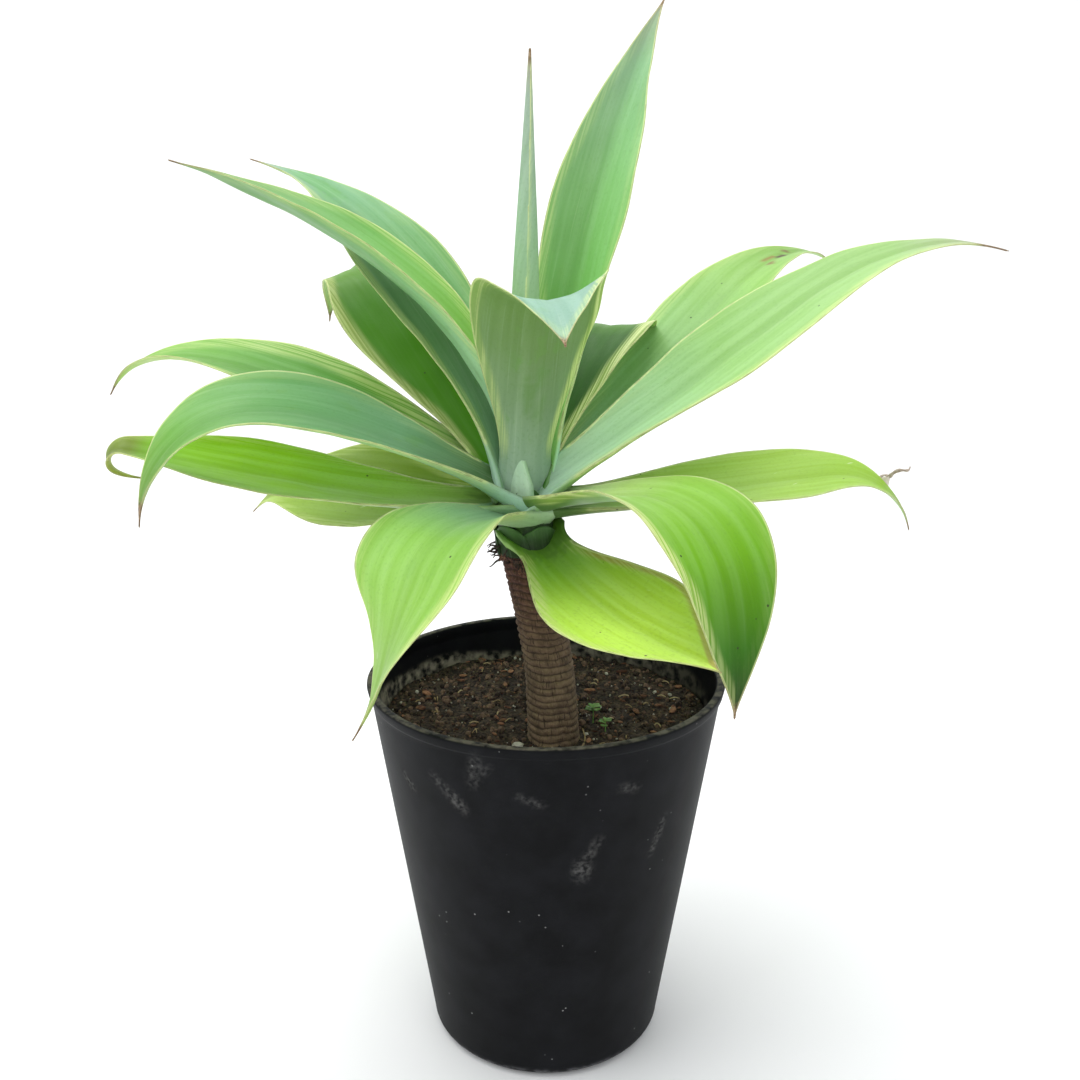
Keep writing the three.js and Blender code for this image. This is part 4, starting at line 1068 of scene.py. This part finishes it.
def make_debris(pebble_finish, straw_finish):
    """One pale pebble near the stem, a dry strand standing by it, and short straws."""
    base, faces = lump_mesh(3)
    knob = 1 + 0.16 * waver(base * 1.3 + 4)
    pebble = base * knob[:, None] * [4.2, 3.0, 2.4] + [-20, -64, float(soil_surface(-20, -64)) + 1.2]
    piece("pebble", pebble, faces, pebble_finish, slot="soil", shade=np.full(len(pebble), 0.1))
    parts = []
    ground = float(soil_surface(22, -69))
    t = np.linspace(0, 1, 16)
    strand = np.stack([22 + 5 * t + 2.5 * np.sin(4 * t), -69 + 3 * t, ground - 2 + 20 * t - 3 * t**3], -1)
    parts.append(rod(strand, np.linspace(0.75, 0.3, 16), 8))
    for _ in range(46):
        x, y = chance.uniform(-100, 100, 2)
        if math.hypot(x, y) > 112 or math.hypot(x - 5, y + 49) < 24:
            continue
        turn, long = chance.uniform(0, math.pi), chance.uniform(3, 9)
        line = [(x + long * (q - 0.5) * math.cos(turn), y + long * (q - 0.5) * math.sin(turn),
                 float(soil_surface(x, y)) + 1.6 + 1.2 * math.sin(3 * q)) for q in np.linspace(0, 1, 7)]
        parts.append(rod(line, chance.uniform(0.3, 0.55), 6))
    points, faces, owner = gather(parts)
    shades = chance.uniform(-0.2, 0.3, len(parts))
    piece("dry_strands", points, faces, straw_finish, slot="soil", shade=shades[owner])


def make_seedling(name, weed, material):
    """A small clover-like weed: a thin stalk and notched leaflets that tilt up."""
    x0, y0 = weed["at"]
    ground = float(soil_surface(x0, y0))
    t = np.linspace(0, 1, 12)
    stalk = np.stack([x0 + 0.5 * np.sin(3 * t) * t, y0 + 0 * t, ground - 6 + (weed["height"] + 6) * t], -1)
    parts, shades = [rod(stalk, np.linspace(0.55, 0.42, 12), 9)], [0.1]
    for i in range(weed["leaflets"]):
        turn = math.radians(weed["bearing"] + 360 * i / weed["leaflets"])
        tilt = math.radians(18 + 9 * (i % 2))
        reach, wide = weed["reach"] * 1.08, weed["reach"] * 0.5
        grid = np.zeros((12, 11, 3))
        for r in range(12):
            p = r / 11
            for c in range(11):
                v = c / 5 - 1
                out = reach * (p - 0.16 * p**5 * (1 - abs(v)) ** 1.5 - 0.1 * p**3 * v * v)
                y = wide * v * (0.1 + 0.9 * math.sin(min(1.0, p * 1.02) ** 1.1 * math.pi * 0.62) ** 1.1)
                z = 0.5 * abs(v) * p + 0.5 * math.sin(p * 2.6) - 0.9 * p * p + 0.12 * noise.noise((r, c, i))
                grid[r, c] = (out * math.cos(tilt) - z * math.sin(tilt), y,
                              out * math.sin(tilt) + z * math.cos(tilt))
        turned = np.stack([grid[..., 0] * math.cos(turn) - grid[..., 1] * math.sin(turn),
                           grid[..., 0] * math.sin(turn) + grid[..., 1] * math.cos(turn), grid[..., 2]], -1)
        parts.append(sheet(turned + [x0, y0, ground + weed["height"] - 1.2 * (i % 3)], 0.35))
        shades.append(chance.uniform(-0.15, 0.2))
    points, faces, owner = gather(parts)
    piece(name + "_leaflets", points, faces, material, replaces=name, slot="weed",
          shade=np.array(shades)[owner])


# ---- Making the plant -----------------------------------------------------------------
leaf_skin = leaf_finish("waxy_agave_leaf", 0.44)
for number, (leaf_name, leaf_facts) in enumerate(LEAVES.items(), 1):
    make_leaf(leaf_name, leaf_facts, leaf_skin, number)
make_sheaths(leaf_skin)
make_dry_thread(soil_finish("dried_leaf_fibre", "#8a7260", "#ddd3c6", 2.5, 0.8))
make_spear(leaf_finish("young_agave_leaf_with_bloom", 0.5))
make_stem(bark_finish())
make_husks(husk_finish())
make_pot(plastic_finish())
make_soil(soil_finish("damp_potting_soil", "#1f1714", "#75604f", 2.2))
scatter("soil_crumbs", soil_finish("peat_crumbs", "#261c18", "#866d5b", 1.6), 1500, (1.35, 3.4), 2, 0.8)
scatter("bark_bits", soil_finish("reddish_bark_bits", "#4a2d20", "#a3765a", 2.0), 260, (1.5, 3.6), 2, 0.35,
        lift=0.45, long=1.5)
scatter("pale_grit", soil_finish("pale_mineral_grit", "#8d867a", "#ddd8cc", 1.5, 0.7), 230, (0.6, 1.5),
        2, 0.8, lift=0.7)
make_debris(soil_finish("pale_limestone_pebble", "#a09a8e", "#ddd9cf", 3.0, 0.75),
            soil_finish("dry_straw", "#8a7552", "#d0bd92", 2.0, 0.8))
weed_leaf = weed_finish()
for weed_name, weed_facts in SEEDLINGS.items():
    make_seedling(weed_name, weed_facts, weed_leaf)

# ---- Studio ---------------------------------------------------------------------------
def studio():
    """A pale floor that curves up into a pale backdrop, and large soft lights."""
    # Matte paper: its tooth is about 1 mm, and only dulls the light.
    material, add = begin_finish("matte_studio_paper")
    tooth = add("TexNoise", {"Vector": add("TexCoord", (), "Object"), "Scale": 900.0, "Detail": 2.0}, 0)
    end_finish(material, add, paint("#f4f4f3"), [], (0.05, 0.5, tooth), {"Roughness": 0.9})
    bend = [(y, 0.0) for y in np.linspace(-2.6, 1.6, 12)]
    bend += [(1.6 + 1.1 * math.sin(t), 1.1 - 1.1 * math.cos(t)) for t in np.linspace(0, math.pi / 2, 20)[1:]]
    bend += [(2.7, z) for z in np.linspace(1.1, 3.6, 8)[1:]]
    mesh = bpy.data.meshes.new("studio_floor")
    wide = np.linspace(-3.4, 3.4, 9)
    points = [(x, y, z - 0.0004) for y, z in bend for x in wide]
    faces = [(r * 9 + c, r * 9 + c + 1, r * 9 + c + 10, r * 9 + c + 9)
             for r in range(len(bend) - 1) for c in range(8)]
    mesh.from_pydata(points, [], faces)
    mesh.polygons.foreach_set("use_smooth", [True] * len(mesh.polygons))
    mesh.materials.append(material)
    floor = bpy.data.objects.new("studio_floor", mesh)
    scene.collection.objects.link(floor)

    world = bpy.data.worlds.new("studio_air")
    world.use_nodes = True
    world.node_tree.nodes["Background"].inputs["Color"].default_value = paint("#f8fbff")
    world.node_tree.nodes["Background"].inputs["Strength"].default_value = 0.75
    scene.world = world
    lamps = [("sky_panel", (-0.5, 0.15, 2.3), (0.0, 0.0, 0.4), 2.2, 34, "#ffffff"),
             ("left_panel", (-1.7, -1.0, 1.5), (0.0, 0.0, 0.45), 1.4, 12, "#fbfdff"),
             ("backdrop_panel", (0.0, 0.9, 2.9), (0.0, 2.6, 1.0), 1.8, 26, "#ffffff"),
             ("front_panel", (0.9, -2.0, 1.3), (0.0, 0.0, 0.35), 1.6, 9, "#ffffff")]
    for name, at, aim, size, power, shade in lamps:
        lamp = bpy.data.lights.new(name, "AREA")
        lamp.shape, lamp.size, lamp.energy = "SQUARE", size, power
        lamp.color = paint(shade)[:3]
        held = bpy.data.objects.new(name, lamp)
        held.location = at
        held.rotation_euler = (Vector(aim) - Vector(at)).to_track_quat("-Z", "Y").to_euler()
        scene.collection.objects.link(held)

    lens = bpy.data.cameras.new("camera")
    lens.lens, lens.sensor_width = CAMERA["lens"], CAMERA["sensor"]
    eye = bpy.data.objects.new("camera", lens)
    eye.location = CAMERA["at"]
    eye.rotation_euler = (math.radians(90 - CAMERA["down"]), 0, 0)
    scene.collection.objects.link(eye)
    scene.camera = eye
    scene.view_settings.view_transform = "Standard"


studio()
